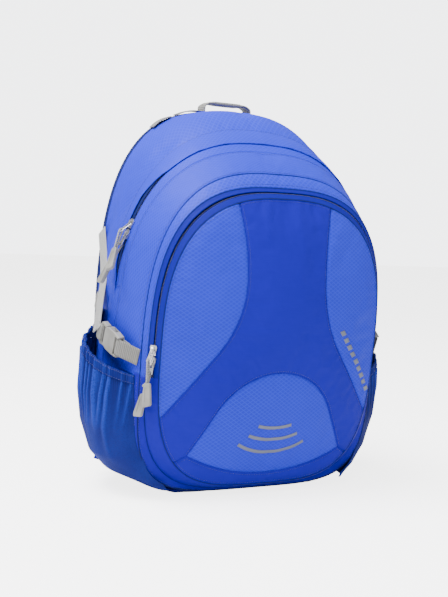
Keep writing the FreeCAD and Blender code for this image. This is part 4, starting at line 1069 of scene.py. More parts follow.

# ---- repeated work along a path: stitches and zip coils, by Geometry Nodes ----


# one tree: a small rounded bead stands on each step of a path, long way first
def makeAlongTree():
    tree = bpy.data.node_groups.new("beadsAlongPath", "GeometryNodeTree")
    face = tree.interface
    face.new_socket(name="Geometry", in_out="INPUT", socket_type="NodeSocketGeometry")
    for label, value in (("Pitch", 0.003), ("Length", 0.002), ("Width", 0.0005),
                         ("Height", 0.0005)):
        face.new_socket(name=label, in_out="INPUT",
                        socket_type="NodeSocketFloat").default_value = value
    face.new_socket(name="Turned", in_out="INPUT",
                    socket_type="NodeSocketFloat").default_value = 0.0
    face.new_socket(name="Finish", in_out="INPUT", socket_type="NodeSocketMaterial")
    face.new_socket(name="Geometry", in_out="OUTPUT", socket_type="NodeSocketGeometry")
    given, out = tree.nodes.new("NodeGroupInput"), tree.nodes.new("NodeGroupOutput")
    curve = addNode(tree, "GeometryNodeMeshToCurve", {"Mesh": given.outputs["Geometry"]})
    fine = addNode(tree, "GeometryNodeResampleCurve",
                   {"Curve": curve.outputs[0], "Length": given.outputs["Pitch"]}, mode="LENGTH")
    tangent = tree.nodes.new("GeometryNodeInputTangent")
    outward = addNode(tree, "GeometryNodeInputNamedAttribute", {"Name": "outward"},
                      data_type="FLOAT_VECTOR")
    first = addNode(tree, "FunctionNodeAlignRotationToVector",
                    {"Vector": tangent.outputs[0]}, axis="X")
    second = addNode(tree, "FunctionNodeAlignRotationToVector",
                     {"Rotation": first.outputs[0], "Vector": outward.outputs[0]},
                     axis="Z", pivot_axis="X")
    tilt = addNode(tree, "ShaderNodeCombineXYZ", {"Z": given.outputs["Turned"]})
    tilt = addNode(tree, "FunctionNodeEulerToRotation", {0: tilt.outputs[0]})
    spun = addNode(tree, "FunctionNodeRotateRotation",
                   {"Rotation": second.outputs[0], "Rotate By": tilt.outputs[0]},
                   rotation_space="LOCAL")
    bead = addNode(tree, "GeometryNodeMeshUVSphere", {"Segments": 6, "Rings": 4, "Radius": 0.5})
    size = addNode(tree, "ShaderNodeCombineXYZ", {"X": given.outputs["Length"],
                                                  "Y": given.outputs["Width"],
                                                  "Z": given.outputs["Height"]})
    lying = addNode(tree, "GeometryNodeTransform",
                    {"Geometry": bead.outputs[0], "Rotation": (0, math.pi / 2, 0)})
    scaled = addNode(tree, "GeometryNodeTransform",
                     {"Geometry": lying.outputs[0], "Scale": size.outputs[0]})
    smooth = addNode(tree, "GeometryNodeSetShadeSmooth", {"Geometry": scaled.outputs[0]})
    placed = addNode(tree, "GeometryNodeInstanceOnPoints",
                     {"Points": fine.outputs[0], "Instance": smooth.outputs[0],
                      "Rotation": spun.outputs[0]})
    real = addNode(tree, "GeometryNodeRealizeInstances", {"Geometry": placed.outputs[0]})
    finished = addNode(tree, "GeometryNodeSetMaterial",
                       {"Geometry": real.outputs[0], "Material": given.outputs["Finish"]})
    tree.links.new(finished.outputs[0], out.inputs[0])
    return tree


alongTree = makeAlongTree()


# beads along paths, each a list of points in mm with its outward directions
def beadsAlong(name, paths, look, finish, body="pack"):
    points, edges, outs = [], [], []
    for path, outward in paths:
        if len(path) < 2:
            continue
        first = len(points)
        points += [tuple(np.asarray(p) * mm) for p in path]
        outs += [tuple(o) for o in outward]
        edges += [(first + n, first + n + 1) for n in range(len(path) - 1)]
    mesh = bpy.data.meshes.new(name)
    mesh.from_pydata(points, edges, [])
    layer = mesh.attributes.new("outward", "FLOAT_VECTOR", "POINT")
    layer.data.foreach_set("vector", np.array(outs, np.float32).ravel())
    obj = addObject(name, mesh, smooth=False)
    nodes = obj.modifiers.new("beads", "NODES")
    nodes.node_group = alongTree
    for socket in alongTree.interface.items_tree:
        if socket.in_out != "INPUT" or socket.name == "Geometry":
            continue
        if socket.name == "Finish":
            nodes[socket.identifier] = finish
        elif socket.name == "Turned":
            nodes[socket.identifier] = float(look.get("turned", 0.0))
        else:
            nodes[socket.identifier] = look[socket.name.lower()] * mm
    settle(obj)
    if not len(obj.data.materials):
        obj.data.materials.append(finish)
    worn(obj, body)
    return obj


# where a path in the air meets the cloth, with the cloth's normal there
def onCloth(tree, points, lift=0.15, reach=12):
    found, outs = [], []
    for point in points:
        spot, normal, _, distance = tree.find_nearest(Vector(point) * mm)
        if spot is None or distance > reach * mm:
            continue
        if normal.dot(Vector(point) * mm - Vector((0, 0.02, 0.2))) < 0:
            normal = -normal
        found.append(np.array(spot) / mm + np.array(normal) * lift)
        outs.append(np.array(normal))
    return found, outs


def offsetLine(line, away):
    along = np.gradient(line, axis=0)
    normal = np.stack([-along[:, 1], along[:, 0]], 1)
    normal /= np.linalg.norm(normal, axis=1, keepdims=True)
    moved = line + normal * away
    return moved[domeShare(moved[:, 0], moved[:, 1]) < 0.965]


def straightened(points, step=2.5):
    points = np.asarray(points)
    steps = np.concatenate([[0], np.cumsum(np.linalg.norm(np.diff(points, axis=0), axis=1))])
    marks = np.linspace(0, steps[-1], max(2, int(steps[-1] / step)))
    return np.stack([np.interp(marks, steps, points[:, k]) for k in range(points.shape[1])], 1)


stitch = {"pitch": 3.1, "length": 2.3, "width": 0.5, "height": 0.42, "away": 2.6}


def stitchFront():
    paths = []
    upper = waist[waist[:, 1] > 30]
    for line, away in ((upper, -stitch["away"]), (upper * (-1, 1), stitch["away"])):
        moved = straightened(offsetLine(line, away))
        clear = np.array([p[1] > np.interp(abs(p[0]), base[len(base) // 2:, 0],
                                           base[len(base) // 2:, 1]) + 3 for p in moved])
        paths.append(onCloth(domeTree, domePoint(moved[clear, 0], moved[clear, 1])))
    moved = straightened(offsetLine(ovalTop, -stitch["away"]))
    clear = moved[:, 1] > front["ovalCorner"] + 2
    paths.append(onCloth(domeTree, domePoint(moved[clear, 0], moved[clear, 1])))
    moved = straightened(offsetLine(base, -stitch["away"]))
    paths.append(onCloth(domeTree, domePoint(moved[:, 0], moved[:, 1])))
    rim = np.linspace(0.002, 0.998, 420)
    ring = inner.at(rim)
    middle = np.array([0, inner.wide])
    shrunk = middle + (ring[:, [0, 2]] - middle) * 0.981
    paths.append(onCloth(domeTree, domePoint(shrunk[:, 0], shrunk[:, 1])))
    beadsAlong("front_stitches", paths, stitch, threadNavy)


def ringPath(tree, line, start=0.0, end=1.0, count=520, lift=0.15):
    return onCloth(tree, line.at(np.linspace(start, end, count)), lift)


def stitchSides():
    paths = []
    for share in (0.04, 0.955):
        paths.append(ringPath(sideTrees["rear_gusset"],
                              bowed(rear, crown, tapeRear, 0.56, share, 0.45)))
    for share in (0.06, 0.93):
        paths.append(ringPath(sideTrees["front_gusset"], between(tapeFront, seam, share)))
    line = between(seam, outer, 0.78)
    start = line.shareAt(skin["pocketZipEnd"] + 3)
    paths.append(ringPath(sideTrees["pocket_gusset_upper"], line, start, 1 - start))
    line = between(seam, outer, 0.25)
    end = line.shareAt(skin["pocketZipEnd"] - 3)
    paths.append(ringPath(sideTrees["pocket_gusset_lower"], line, -end, end))
    beadsAlong("side_stitches", paths, stitch, threadNavy)


stitchFront()
stitchSides()
print("stitches sewn")

# ---- zips: two tapes, a reversed coil between them and a rain flap over the big one ----

zips = {"edgeRise": 0.5, "coilPitch": 1.5, "coilLong": 2.7, "coilWide": 0.85,
        "coilHigh": 1.0, "coilDrop": 0.55, "flapRows": 9, "flapOver": 3.2,
        "flapOpen": (240, 260, 330, 374), "flapBack": 4.8}


# a tape between two outlines: its inner edge rolls up a little over the coil
def tapeStrip(name, wideEdge, splitEdge, height, node, finish):
    lines = ringRun(wideEdge, splitEdge, 7)
    patch = stripPatch(lines, *openEnds(lines, height))
    rows = len(lines)
    columns = len(patch["points"]) // rows
    grid = patch["points"].reshape(rows, columns, 3)
    middle = np.array([0, grid[..., 1].mean(), 190])
    out = grid - middle
    out[..., 1] *= 0.4
    out /= np.linalg.norm(out, axis=2, keepdims=True)
    rise = np.array([-0.2, 0.05, 0.1, 0.1, 0.15, 0.45, 0.6, 0.25]) * zips["edgeRise"]
    patch["points"] = (grid + out * rise[:, None, None]).reshape(-1, 3)
    turnedOut(patch)
    obj = addObject(name, patchMesh(name, patch), finish)
    thickened(obj, skin["tapeThick"] * 0.8)
    finishPiece(obj, node)


def zipCoil(name, line, height):
    start = line.shareAt(height)
    points = line.at(np.linspace(start, 1 - start, 700))
    out = points - np.array([0, points[:, 1].mean(), 190])
    out[:, 1] *= 0.5
    out /= np.linalg.norm(out, axis=1, keepdims=True)
    path = points - out * zips["coilDrop"]
    beadsAlong(name, [(path, out)], {"pitch": zips["coilPitch"], "length": zips["coilWide"],
                                     "width": zips["coilLong"], "height": zips["coilHigh"]},
               threadNavy)


tapeStrip("main_zip_tape_rear_cloth", tapeRear, splitRear, skin["zipEnd"],
          "main_zip_tape_rear", bindingCloth)
tapeStrip("main_zip_tape_front_cloth", tapeFront, splitFront, skin["zipEnd"],
          "main_zip_tape_front", ripstopLight)
tapeStrip("pocket_zip_tape_outer_cloth", outer, splitOuter, skin["pocketZipEnd"],
          "pocket_zip_tape_outer", zipTapeCloth)
tapeStrip("pocket_zip_tape_inner_cloth", inner, splitInner, skin["pocketZipEnd"],
          "pocket_zip_tape_inner", zipTapeCloth)
zipCoil("main_zip_coil", zipLine, skin["zipEnd"])
zipCoil("pocket_zip_coil", pocketZip, skin["pocketZipEnd"])


# the flap lies over the coil, and stands back from it where the sliders run
def makeFlap():
    flapTo = towards(zipLine, tapeRear, skin["flapTo"])
    grids = []
    for away in (zips["flapBack"], -zips["flapOver"]):
        lines = ringRun(flapTo, towards(zipLine, tapeRear, away), zips["flapRows"])
        first, last = openEnds(lines, skin["zipEnd"] - 12)
        grids.append(np.stack([line.at(np.linspace(a, b, 230))
                               for line, a, b in zip(lines, first, last)]))
    patch = stripPatch(lines, first, last, columns=229)
    rows, columns = grids[0].shape[:2]
    height, side = grids[0][-1, :, 2], grids[0][-1, :, 0]
    low, lowIn, highIn, high = zips["flapOpen"]
    cover = np.interp(height, (low, lowIn, highIn, high), (1, 0, 0, 1))
    cover = np.where(side > 0, 1.0, cover * cover * (3 - 2 * cover))[None, :, None]
    grid = grids[0] * (1 - cover) + grids[1] * cover
    out = grid - np.array([0, 20, 190])
    out[..., 1] = 0.12 * np.linalg.norm(out[..., [0, 2]], axis=2)
    out /= np.linalg.norm(out, axis=2, keepdims=True)
    share = np.linspace(0, 1, rows)[:, None]
    wave = ripple(np.linspace(0, 900, columns), 70, 77)[None, :]
    fadeIn = np.clip(np.minimum(np.arange(columns), columns - 1 - np.arange(columns)) / 7, 0, 1)
    lift = 0.4 + (2.2 * np.sin(np.pi * share ** 1.3 * 0.66) + 0.35 * wave * share) * fadeIn
    patch["points"] = (grid + out * lift[..., None]).reshape(-1, 3)
    turnedOut(patch)
    obj = subdivided(addObject("main_zip_flap_cloth", patchMesh("main_zip_flap_cloth", patch),
                               ripstopLight))
    tree = BVHTree.FromObject(obj, bpy.context.evaluated_depsgraph_get())
    thickened(obj, 1.1)
    rounder = obj.modifiers.new("rolledEdge", "BEVEL")
    rounder.width, rounder.segments = 0.4 * mm, 2
    rounder.limit_method = "ANGLE"
    finishPiece(obj, "main_zip_flap")
    line = towards(zipLine, tapeRear, skin["flapTo"] - 2.0)
    start = line.shareAt(skin["zipEnd"] - 10)
    beadsAlong("flap_stitches", [ringPath(tree, line, start, 1 - start, lift=0.1)], stitch,
               threadNavy)


makeFlap()
print("zips made")

# ---- rounded tubes and ribbons ----


# frames along a path: tangent, outward and across, from given outward hints
def pathFrames(points, outs):
    points = np.asarray(points, float)
    tangent = np.gradient(points, axis=0)
    tangent /= np.linalg.norm(tangent, axis=1, keepdims=True)
    outs = np.asarray(outs, float)
    if outs.ndim == 1:
        outs = np.tile(outs, (len(points), 1))
    outs = outs - tangent * np.sum(outs * tangent, axis=1, keepdims=True)
    outs /= np.linalg.norm(outs, axis=1, keepdims=True)
    return tangent, outs, np.cross(outs, tangent)


# a flat band swept along a path, thick and wide given along it, with rounded edges
def ribbonMesh(name, points, outs, width, thickness, cap=True):
    points = np.asarray(points, float)
    count = len(points)
    out, across = pathFrames(points, outs)[1:]
    width = np.broadcast_to(np.asarray(width, float), (count,))
    thickness = np.broadcast_to(np.asarray(thickness, float), (count,))
    section = []
    for share in np.linspace(-1, 1, 9):
        section.append((share * 0.98, 0.5 * (1 - abs(share) ** 6 * 0.35)))
    section.append((1.0, 0.0))
    for share in np.linspace(1, -1, 9):
        section.append((share * 0.98, -0.5 * (1 - abs(share) ** 6 * 0.35)))
    section.append((-1.0, 0.0))
    section = np.array(section)
    ring = len(section)
    steps = np.concatenate([[0], np.cumsum(np.linalg.norm(np.diff(points, axis=0), axis=1))])
    grid = (points[:, None, :] + across[:, None, :] * (section[None, :, 0, None]
            * width[:, None, None] / 2) + out[:, None, :] * (section[None, :, 1, None]
                                                            * thickness[:, None, None]))
    faces, uvs = [], []
    for n in range(count - 1):
        for k in range(ring):
            j = (k + 1) % ring
            faces.append((n * ring + k, (n + 1) * ring + k, (n + 1) * ring + j, n * ring + j))
            a, b = section[k, 0] * width[n] / 2, section[j, 0] * width[n] / 2
            uvs += [(steps[n], a), (steps[n + 1], a), (steps[n + 1], b), (steps[n], b)]
    if cap:
        faces.append(tuple(range(ring)))
        uvs += [(steps[0], s * width[0] / 2) for s in section[:, 0]]
        faces.append(tuple((count - 1) * ring + k for k in reversed(range(ring))))
        uvs += [(steps[-1], s * width[-1] / 2) for s in section[::-1, 0]]
    mesh = bpy.data.meshes.new(name)
    mesh.from_pydata((grid.reshape(-1, 3) * mm).tolist(), [], faces)
    layer = mesh.uv_layers.new(name="cloth")
    layer.data.foreach_set("uv", (np.array(uvs, np.float32) * mm).ravel())
    mesh.update()
    return mesh


def smoothPath(corners, step=2.0, rounds=3):
    points = np.asarray(corners, float)
    for again in range(rounds):
        points = np.concatenate([points[:1], np.stack(
            [0.75 * points[:-1] + 0.25 * points[1:],
             0.25 * points[:-1] + 0.75 * points[1:]], 1).reshape(-1, 3), points[-1:]])
    steps = np.concatenate([[0], np.cumsum(np.linalg.norm(np.diff(points, axis=0), axis=1))])
    marks = np.linspace(0, steps[-1], max(3, int(steps[-1] / step) + 1))
    return np.stack([np.interp(marks, steps, points[:, k]) for k in range(3)], 1)


def roundTube(name, points, radius, sides=8):
    points = np.asarray(points, float)
    tangent, out, across = pathFrames(points, np.array([0.013, 1.0, 0.021]))
    turns = np.arange(sides) * 2 * math.pi / sides
    ring = out[:, None, :] * np.cos(turns)[None, :, None] + across[:, None, :] * np.sin(
        turns)[None, :, None]
    radius = np.broadcast_to(np.asarray(radius, float), (len(points),))
    grid = points[:, None, :] + ring * radius[:, None, None]
    faces = []
    for n in range(len(points) - 1):
        for k in range(sides):
            j = (k + 1) % sides
            faces.append((n * sides + k, (n + 1) * sides + k, (n + 1) * sides + j,
                          n * sides + j))
    faces.append(tuple(range(sides)))
    faces.append(tuple((len(points) - 1) * sides + k for k in reversed(range(sides))))
    mesh = bpy.data.meshes.new(name)
    mesh.from_pydata((grid.reshape(-1, 3) * mm).tolist(), [], faces)
    maker = bmesh.new()
    maker.from_mesh(mesh)
    bmesh.ops.recalc_face_normals(maker, faces=maker.faces)
    maker.to_mesh(mesh)
    maker.free()
    return mesh

# ---- sewn-on details of the front: printed bars, a row of dashes, bindings and seam beads ----


# a thin print that follows the cloth between two rows of points
def printOn(name, rows, tree, lift, thickness, finish, node=None):
    grid = []
    for row in rows:
        grid.append(onCloth(tree, row, lift)[0])
    count = min(len(row) for row in grid)
    points = np.array([row[:count] for row in grid])
    faces = []
    for r in range(len(points) - 1):
        for c in range(count - 1):
            faces.append((r * count + c, r * count + c + 1, (r + 1) * count + c + 1,
                          (r + 1) * count + c))
    flat = points.reshape(-1, 3)
    patch = {"points": flat, "faces": faces, "uv": flat[:, [0, 2]], "tags": [0] * len(faces)}
    turnedOut(patch)
    mesh = patchMesh(name, patch)
    obj = addObject(name, mesh, finish)
    thickened(obj, thickness, 1.0)
    if node:
        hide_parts(*node)
    worn(obj)
    return obj


def printedBars():
    radius, thick = front["barRadius"], front["barThick"]
    for number, (height, half) in enumerate(front["bars"]):
        turn = math.asin(half / radius)
        turns = np.linspace(-turn, turn, 60)
        rows = []
        for r in np.linspace(radius - thick / 2, radius + thick / 2, 5):
            x, z = r * np.sin(turns), height + radius - r * np.cos(turns)
            rows.append(domePoint(x, z))
        printOn("printed_bar_%d" % (number + 1), rows, domeTree, 0.12, 0.25,
                            printGrey)
    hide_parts("printed_bars")


printedBars()

dashes = {"from": (77, 193), "to": (133, 117), "count": 9, "long": 5.2, "tall": 6.5,
          "share": 0.62}


# a plain row of slanted dashes where such a bag carries its trim
def trimDashes():
    start, end = np.array(dashes["from"], float), np.array(dashes["to"], float)
    run = (end - start) / np.linalg.norm(end - start)
    side = np.array([-run[1], run[0]])
    gap = np.linalg.norm(end - start) / dashes["count"]
    for n in range(dashes["count"]):
        low = start + run * gap * n
        rows = []
        for rise in np.linspace(0, 1, 5):
            across = np.linspace(0, 1, 6)[:, None] * run * gap * dashes["share"]
            line = low + side * (rise * dashes["tall"] - dashes["tall"] / 2) + across
            line = line + run * (rise - 0.5) * 2.0
            rows.append(domePoint(line[:, 0], line[:, 1]))
        printOn("trim_dash_%d" % (n + 1), rows, domeTree, 0.1, 0.2, printGrey)


trimDashes()


# dark turned-in seams between the rings of cloth, and the bound edge of the back
def seamBeads():
    for name, ring, radius, drop, finish in (
            ("seam_bead_front", seamRing, 0.9, 0.5, bindingCloth),
            ("seam_bead_lip", outerRing, 0.7, 0.4, bindingCloth),
            ("seam_bead_rim", rimRing, 0.7, 0.45, bindingCloth),
            ("seam_bead_zip_rear", tapeRearRing, 0.6, 0.4, bindingCloth)):
        out = ring - np.array([0, ring[:, 1].mean(), 190])
        out /= np.linalg.norm(out, axis=1, keepdims=True)
        path = ring[:-1:2] - out[:-1:2] * drop
        closed = np.concatenate([path, path[:1]])
        obj = addObject(name, roundTube(name, closed, radius, 7), finish)
        worn(obj)
    out = rearRing - np.array([0, rearRing[:, 1].mean(), 190])
    out /= np.linalg.norm(out, axis=1, keepdims=True)
    path = rearRing[:-1:2] + np.array([0, 1.8, 0]) - out[:-1:2] * 0.6
    path = np.concatenate([path, path[:1]])
    outs = np.concatenate([out[:-1:2], out[:1]])
    mesh = ribbonMesh("back_edge_binding", path, outs, 7.5, 3.2, cap=False)
    obj = addObject("back_edge_binding", mesh, bindingCloth)
    worn(obj)
    paths = [(path + outs * 1.75 + np.array([0, away, 0]), outs) for away in (-2.4, 2.4)]
    beadsAlong("binding_stitches", paths, stitch, threadNavy)


seamBeads()

# ---- the floor, the back cloth and the divider ----

floorSet = {"long": 200, "deep": 96, "middle": 22, "thick": 4, "cells": 46}


# a square grid drawn in at its corners, from -1 to 1 each way
def cushionGrid(across, up, power):
    u, v = np.meshgrid(np.linspace(-1, 1, across), np.linspace(-1, 1, up))
    most = np.maximum(np.abs(u), np.abs(v))
    total = (np.abs(u) ** power + np.abs(v) ** power) ** (1 / power)
    share = np.where(total > 0, most / np.maximum(total, 1e-9), 1)
    return u * share, v * share, most


# a closed form from a top grid and a bottom grid that share their rim
def closedForm(top, bottom, across, up):
    count = across * up
    rim = np.zeros((up, across), bool)
    rim[0], rim[-1], rim[:, 0], rim[:, -1] = True, True, True, True
    index = np.arange(count).reshape(up, across)
    low = np.where(rim, index, index + count)
    faces = []
    for r in range(up - 1):
        for c in range(across - 1):
            faces.append((index[r, c], index[r, c + 1], index[r + 1, c + 1], index[r + 1, c]))
            faces.append((low[r, c], low[r + 1, c], low[r + 1, c + 1], low[r, c + 1]))
    points = np.concatenate([top.reshape(-1, 3), bottom.reshape(-1, 3)])
    used = sorted({v for face in faces for v in face})
    renumber = {v: n for n, v in enumerate(used)}
    return points[used], [tuple(renumber[v] for v in face) for face in faces], rim.reshape(-1)


def floorPanel():
    u, v, most = cushionGrid(floorSet["cells"], 24, 7.0)
    x = u * (floorSet["long"] / 2 + 2)
    y = floorSet["middle"] + v * (floorSet["deep"] / 2 + 2)
    rise = 0.7 * np.clip((most - 0.86) / 0.14, 0, 1) ** 2
    low = np.stack([x, y, rise + 0.25 * (1 - np.cos(9 * u)) * (1 - most ** 4)], -1)
    high = np.stack([x * 0.99, floorSet["middle"] + (y - floorSet["middle"]) * 0.98,
                     np.full_like(x, float(floorSet["thick"]) + 0.8)], -1)
    points, faces, _ = closedForm(high, low, floorSet["cells"], 24)
    patch = {"points": points, "faces": faces, "uv": points[:, :2], "tags": [0] * len(faces)}
    obj = addObject("bottom_panel_cloth", patchMesh("bottom_panel_cloth", patch), plainDark)
    subdivided(obj)
    finishPiece(obj, "bottom_panel")


floorPanel()


def flatPanel(name, line, grow, thickness, push, cloth, node):
    ring = line.at(np.linspace(0, 1, 241)[:-1])
    middle = np.array([0, line.wide])
    points, faces = [], []
    scales = (1.0, 0.97, 0.9, 0.78, 0.62, 0.45, 0.28, 0.12)
    width = (line.half + grow) / line.half
    for scale in scales:
        flat = middle + (ring[:, [0, 2]] - middle) * scale * width
        y = line.depthAt(flat[:, 1]) + push
        points.append(np.stack([flat[:, 0], y, flat[:, 1]], 1))
    flat = np.concatenate(points)
    count = len(ring)
    for r in range(len(scales) - 1):
        for c in range(count):
            d = (c + 1) % count
            faces.append((r * count + c, r * count + d, (r + 1) * count + d,
                          (r + 1) * count + c))
    flat = np.concatenate([flat, [[0, line.depthAt(line.wide) + push, line.wide]]])
    last = len(flat) - 1
    base = (len(scales) - 1) * count
    faces += [(base + c, base + (c + 1) % count, last) for c in range(count)]
    patch = {"points": flat, "faces": faces, "uv": flat[:, [0, 2]], "tags": [0] * len(faces)}
    turnedOut(patch)
    obj = addObject(name, patchMesh(name, patch), cloth)
    thickened(obj, thickness)
    finishPiece(obj, node)


flatPanel("back_panel_cloth", rear, 0.0, 2.4, 2.6, bindingCloth, "back_panel")
flatPanel("divider_cloth", seam, -2.6, 0.9, 0.9, liningCloth, "divider_panel")
print("panels made")

# ---- padding: back pads and shoulder straps, swollen by one simulation ----

padding = {"thick": 9, "wide": 92, "high": 250, "out": 60, "foot": 98, "lumbarWide": 172,
           "lumbarHigh": 58, "lumbarFoot": 24, "channels": (148, 198, 248, 298)}
strapSet = {"wide": 62, "thick": 12, "top": 404, "topOut": 44, "arch": 122, "foot": 118,
            "footOut": 96, "anchorHeight": 26, "anchorOut": 128, "lowerWide": 25,
            "lockLong": 22, "lockBar": 3, "lockGap": 2, "webbing": 1.4}
padSwell = {"frames": 16, "pressure": 2.6, "slack": -0.004, "tension": 14, "bending": 1.2,
            "mass": 0.3, "most": 3.0, "softest": 1.8}


def padForm(wide, high, outX, foot, cells):
    across, up = cells
    u, v, most = cushionGrid(across, up, 5.0)
    face = rear.depthAt(foot) + 3.2
    x = outX + u * wide / 2
    z = foot + high / 2 + v * high / 2
    crown = padding["thick"] * 0.78 * (1 - np.clip(most, 0, 1) ** 5) ** 0.6
    top = np.stack([x, face + 0.6 + crown, z], -1)
    low = np.stack([x, np.full_like(x, face), z], -1)
    points, faces, rim = closedForm(top, low, across, up)
    held = np.zeros(len(points), bool)
    held[: len(rim)] = rim
    held[len(rim):] = True
    return {"points": points, "faces": faces, "uv": points[:, [0, 2]],
            "held": held, "tags": [0] * len(faces)}


def strapStops(side):
    rise = strapSet["top"] - strapSet["foot"]
    base0 = rear.depthAt(strapSet["top"]) + 3.0
    stops = []
    for share in np.linspace(0, 1, 49):
        bulge = math.sin(math.pi * min(1.0, share * 1.02)) ** 0.7 if 0 < share < 0.98 else 0.0
        y = base0 + 7 + (strapSet["arch"] - base0 - 7) * bulge + 13 * share
        x = strapSet["topOut"] + (strapSet["footOut"] - strapSet["topOut"]) * share ** 1.3
        x -= 8 * math.sin(math.pi * share)
        stops.append((side * x, y, strapSet["top"] - rise * share))
    stops = np.array(stops)
    for again in range(6):
        stops[1:-1] = 0.5 * stops[1:-1] + 0.25 * (stops[:-2] + stops[2:])
    return stops


def strapForm(side):
    stops = strapStops(side)
    tangent = np.gradient(stops, axis=0)
    tangent /= np.linalg.norm(tangent, axis=1, keepdims=True)
    across = np.array([1.0, 0, 0]) - tangent * tangent[:, :1]
    across /= np.linalg.norm(across, axis=1, keepdims=True)
    out = np.cross(across, tangent)
    out *= np.sign(out[:, 1:2])
    share = np.linspace(0, 1, len(stops))
    wide = strapSet["wide"] / 2 * np.interp(share, (0, 0.5, 0.8, 0.96, 1), (
        0.92, 0.94, 0.86, 0.66, 0.58))
    half = strapSet["thick"] / 2 * np.interp(share, (0, 0.06, 0.92, 1), (0.4, 0.8, 0.8, 0.35))
    cells = 15
    tops, lows = [], []
    for sign, rows in ((1, tops), (-1, lows)):
        for u in np.linspace(-1, 1, cells):
            crown = (1 - abs(u) ** 4) ** 0.6
            rows.append(stops + across * (u * wide)[:, None]
                        + out * (sign * half * crown)[:, None])
    top, low = np.stack(tops), np.stack(lows)
    top[:, 0], top[:, -1] = (top[:, 0] + low[:, 0]) / 2, (top[:, -1] + low[:, -1]) / 2
    points, faces, rim = closedForm(top, low, len(stops), cells)
    held = np.zeros(len(points), bool)
    held[: len(rim)] = rim
    flat = np.stack([points[:, 0], points[:, 2]], 1)
    return ({"points": points, "faces": faces, "uv": flat, "held": held,
             "tags": [0] * len(faces)}, stops, out, wide, half)


pads = {"back_pad_left": padForm(padding["wide"], padding["high"], -padding["out"],
                                 padding["foot"], (22, 56)),
        "back_pad_right": padForm(padding["wide"], padding["high"], padding["out"],
                                  padding["foot"], (22, 56)),
        "back_pad_lumbar": padForm(padding["lumbarWide"], padding["lumbarHigh"], 0,
                                   padding["lumbarFoot"], (42, 16))}
straps = {}
for side, name in ((-1, "left"), (1, "right")):
    form, stops, out, wide, half = strapForm(side)
    straps[name] = (stops, out, wide, half, side)
    pads["shoulder_strap_" + name] = form


def outwardClosed(patch):
    maker = bmesh.new()
    mesh = bpy.data.meshes.new("turning")
    mesh.from_pydata(patch["points"].tolist(), [], patch["faces"])
    maker.from_mesh(mesh)
    bmesh.ops.recalc_face_normals(maker, faces=maker.faces)
    maker.faces.ensure_lookup_table()
    patch["faces"] = [tuple(v.index for v in face.verts) for face in maker.faces]
    maker.free()
    bpy.data.meshes.remove(mesh)
    return patch


for form in pads.values():
    outwardClosed(form)
padNames = list(pads)
whole = joined([pads[n] for n in padNames])
swollen = simulate("padFoam", whole["points"], whole["faces"], whole["held"], padSwell)
first = 0
for n in padNames:
    count = len(pads[n]["points"])
    pads[n]["points"] = swollen[first:first + count]
    first += count


def makePads():
    for name, form in pads.items():
        isStrap = name.startswith("shoulder")
        obj = subdivided(addObject(name + "_foam", patchMesh(name + "_foam", form), airMesh))
        mesh = obj.data
        points, normals = readPoints(mesh), readNormals(mesh)
        if not isStrap:
            marks = padding["channels"] if "lumbar" not in name else ()
            facing = np.clip(normals[:, 1], 0, 1)
            shift = sum(-4.2 * np.exp(-((points[:, 2] - z) / 3.2) ** 2) for z in marks) + 0.0
            if "lumbar" in name:
                shift = sum(-3.6 * np.exp(-((points[:, 0] - x) / 3.0) ** 2)
                            for x in (-43, 0, 43))
            writePoints(mesh, points + np.array([0, 1.0, 0]) * (shift * facing)[:, None])
        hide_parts(name)
        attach(obj, "pack")


makePads()


# bound edges, a sewn webbing and its bar tacks on each shoulder strap
def dressStraps():
    for name, (stops, out, wide, half, side) in straps.items():
        tangent, outs, across = pathFrames(stops, out)
        for edge, sign in (("inner", -side), ("outer", side)):
            reach = across * (np.sign(across[:, :1]) * sign)
            path = stops + reach * (wide - 0.3)[:, None]
            mesh = ribbonMesh("strap_binding_%s_%s" % (edge, name), path, reach, 5.4, 2.2)
            obj = addObject(mesh.name, mesh, bindingCloth)
            worn(obj)
        low = 0 if outs[24, 1] > 0 else 1
        path = stops - outs * (half + 1.1)[:, None] if low else stops + outs * (
            half + 1.1)[:, None]
        webbing = ribbonMesh("strap_webbing_" + name, path[1:-1], outs[1:-1],
                             strapSet["lowerWide"] - 5, strapSet["webbing"])
        obj = addObject("strap_webbing_" + name, webbing, webbingGrey)
        worn(obj)
        paths = []
        for away in (-8.4, 8.4):
            paths.append((path[2:-2] + across[2:-2] * away + outs[2:-2] * 0.75, outs[2:-2]))
        for mark in (8, 18, 30, 42):
            wave = np.linspace(-8.5, 8.5, 30)
            base = path[mark] + across[mark] * wave[:, None] + outs[mark] * 0.8
            zigzag = tangent[mark] * (np.where(np.arange(30) % 2, 1.0, -1.0))[:, None]
            paths.append((base + zigzag, np.tile(outs[mark], (30, 1))))
        beadsAlong("strap_stitches_" + name, paths, stitch, threadGrey)


dressStraps()
print("padding made")

# ---- lower adjusters: ladder locks stay as moulded, the webbing threads them ----


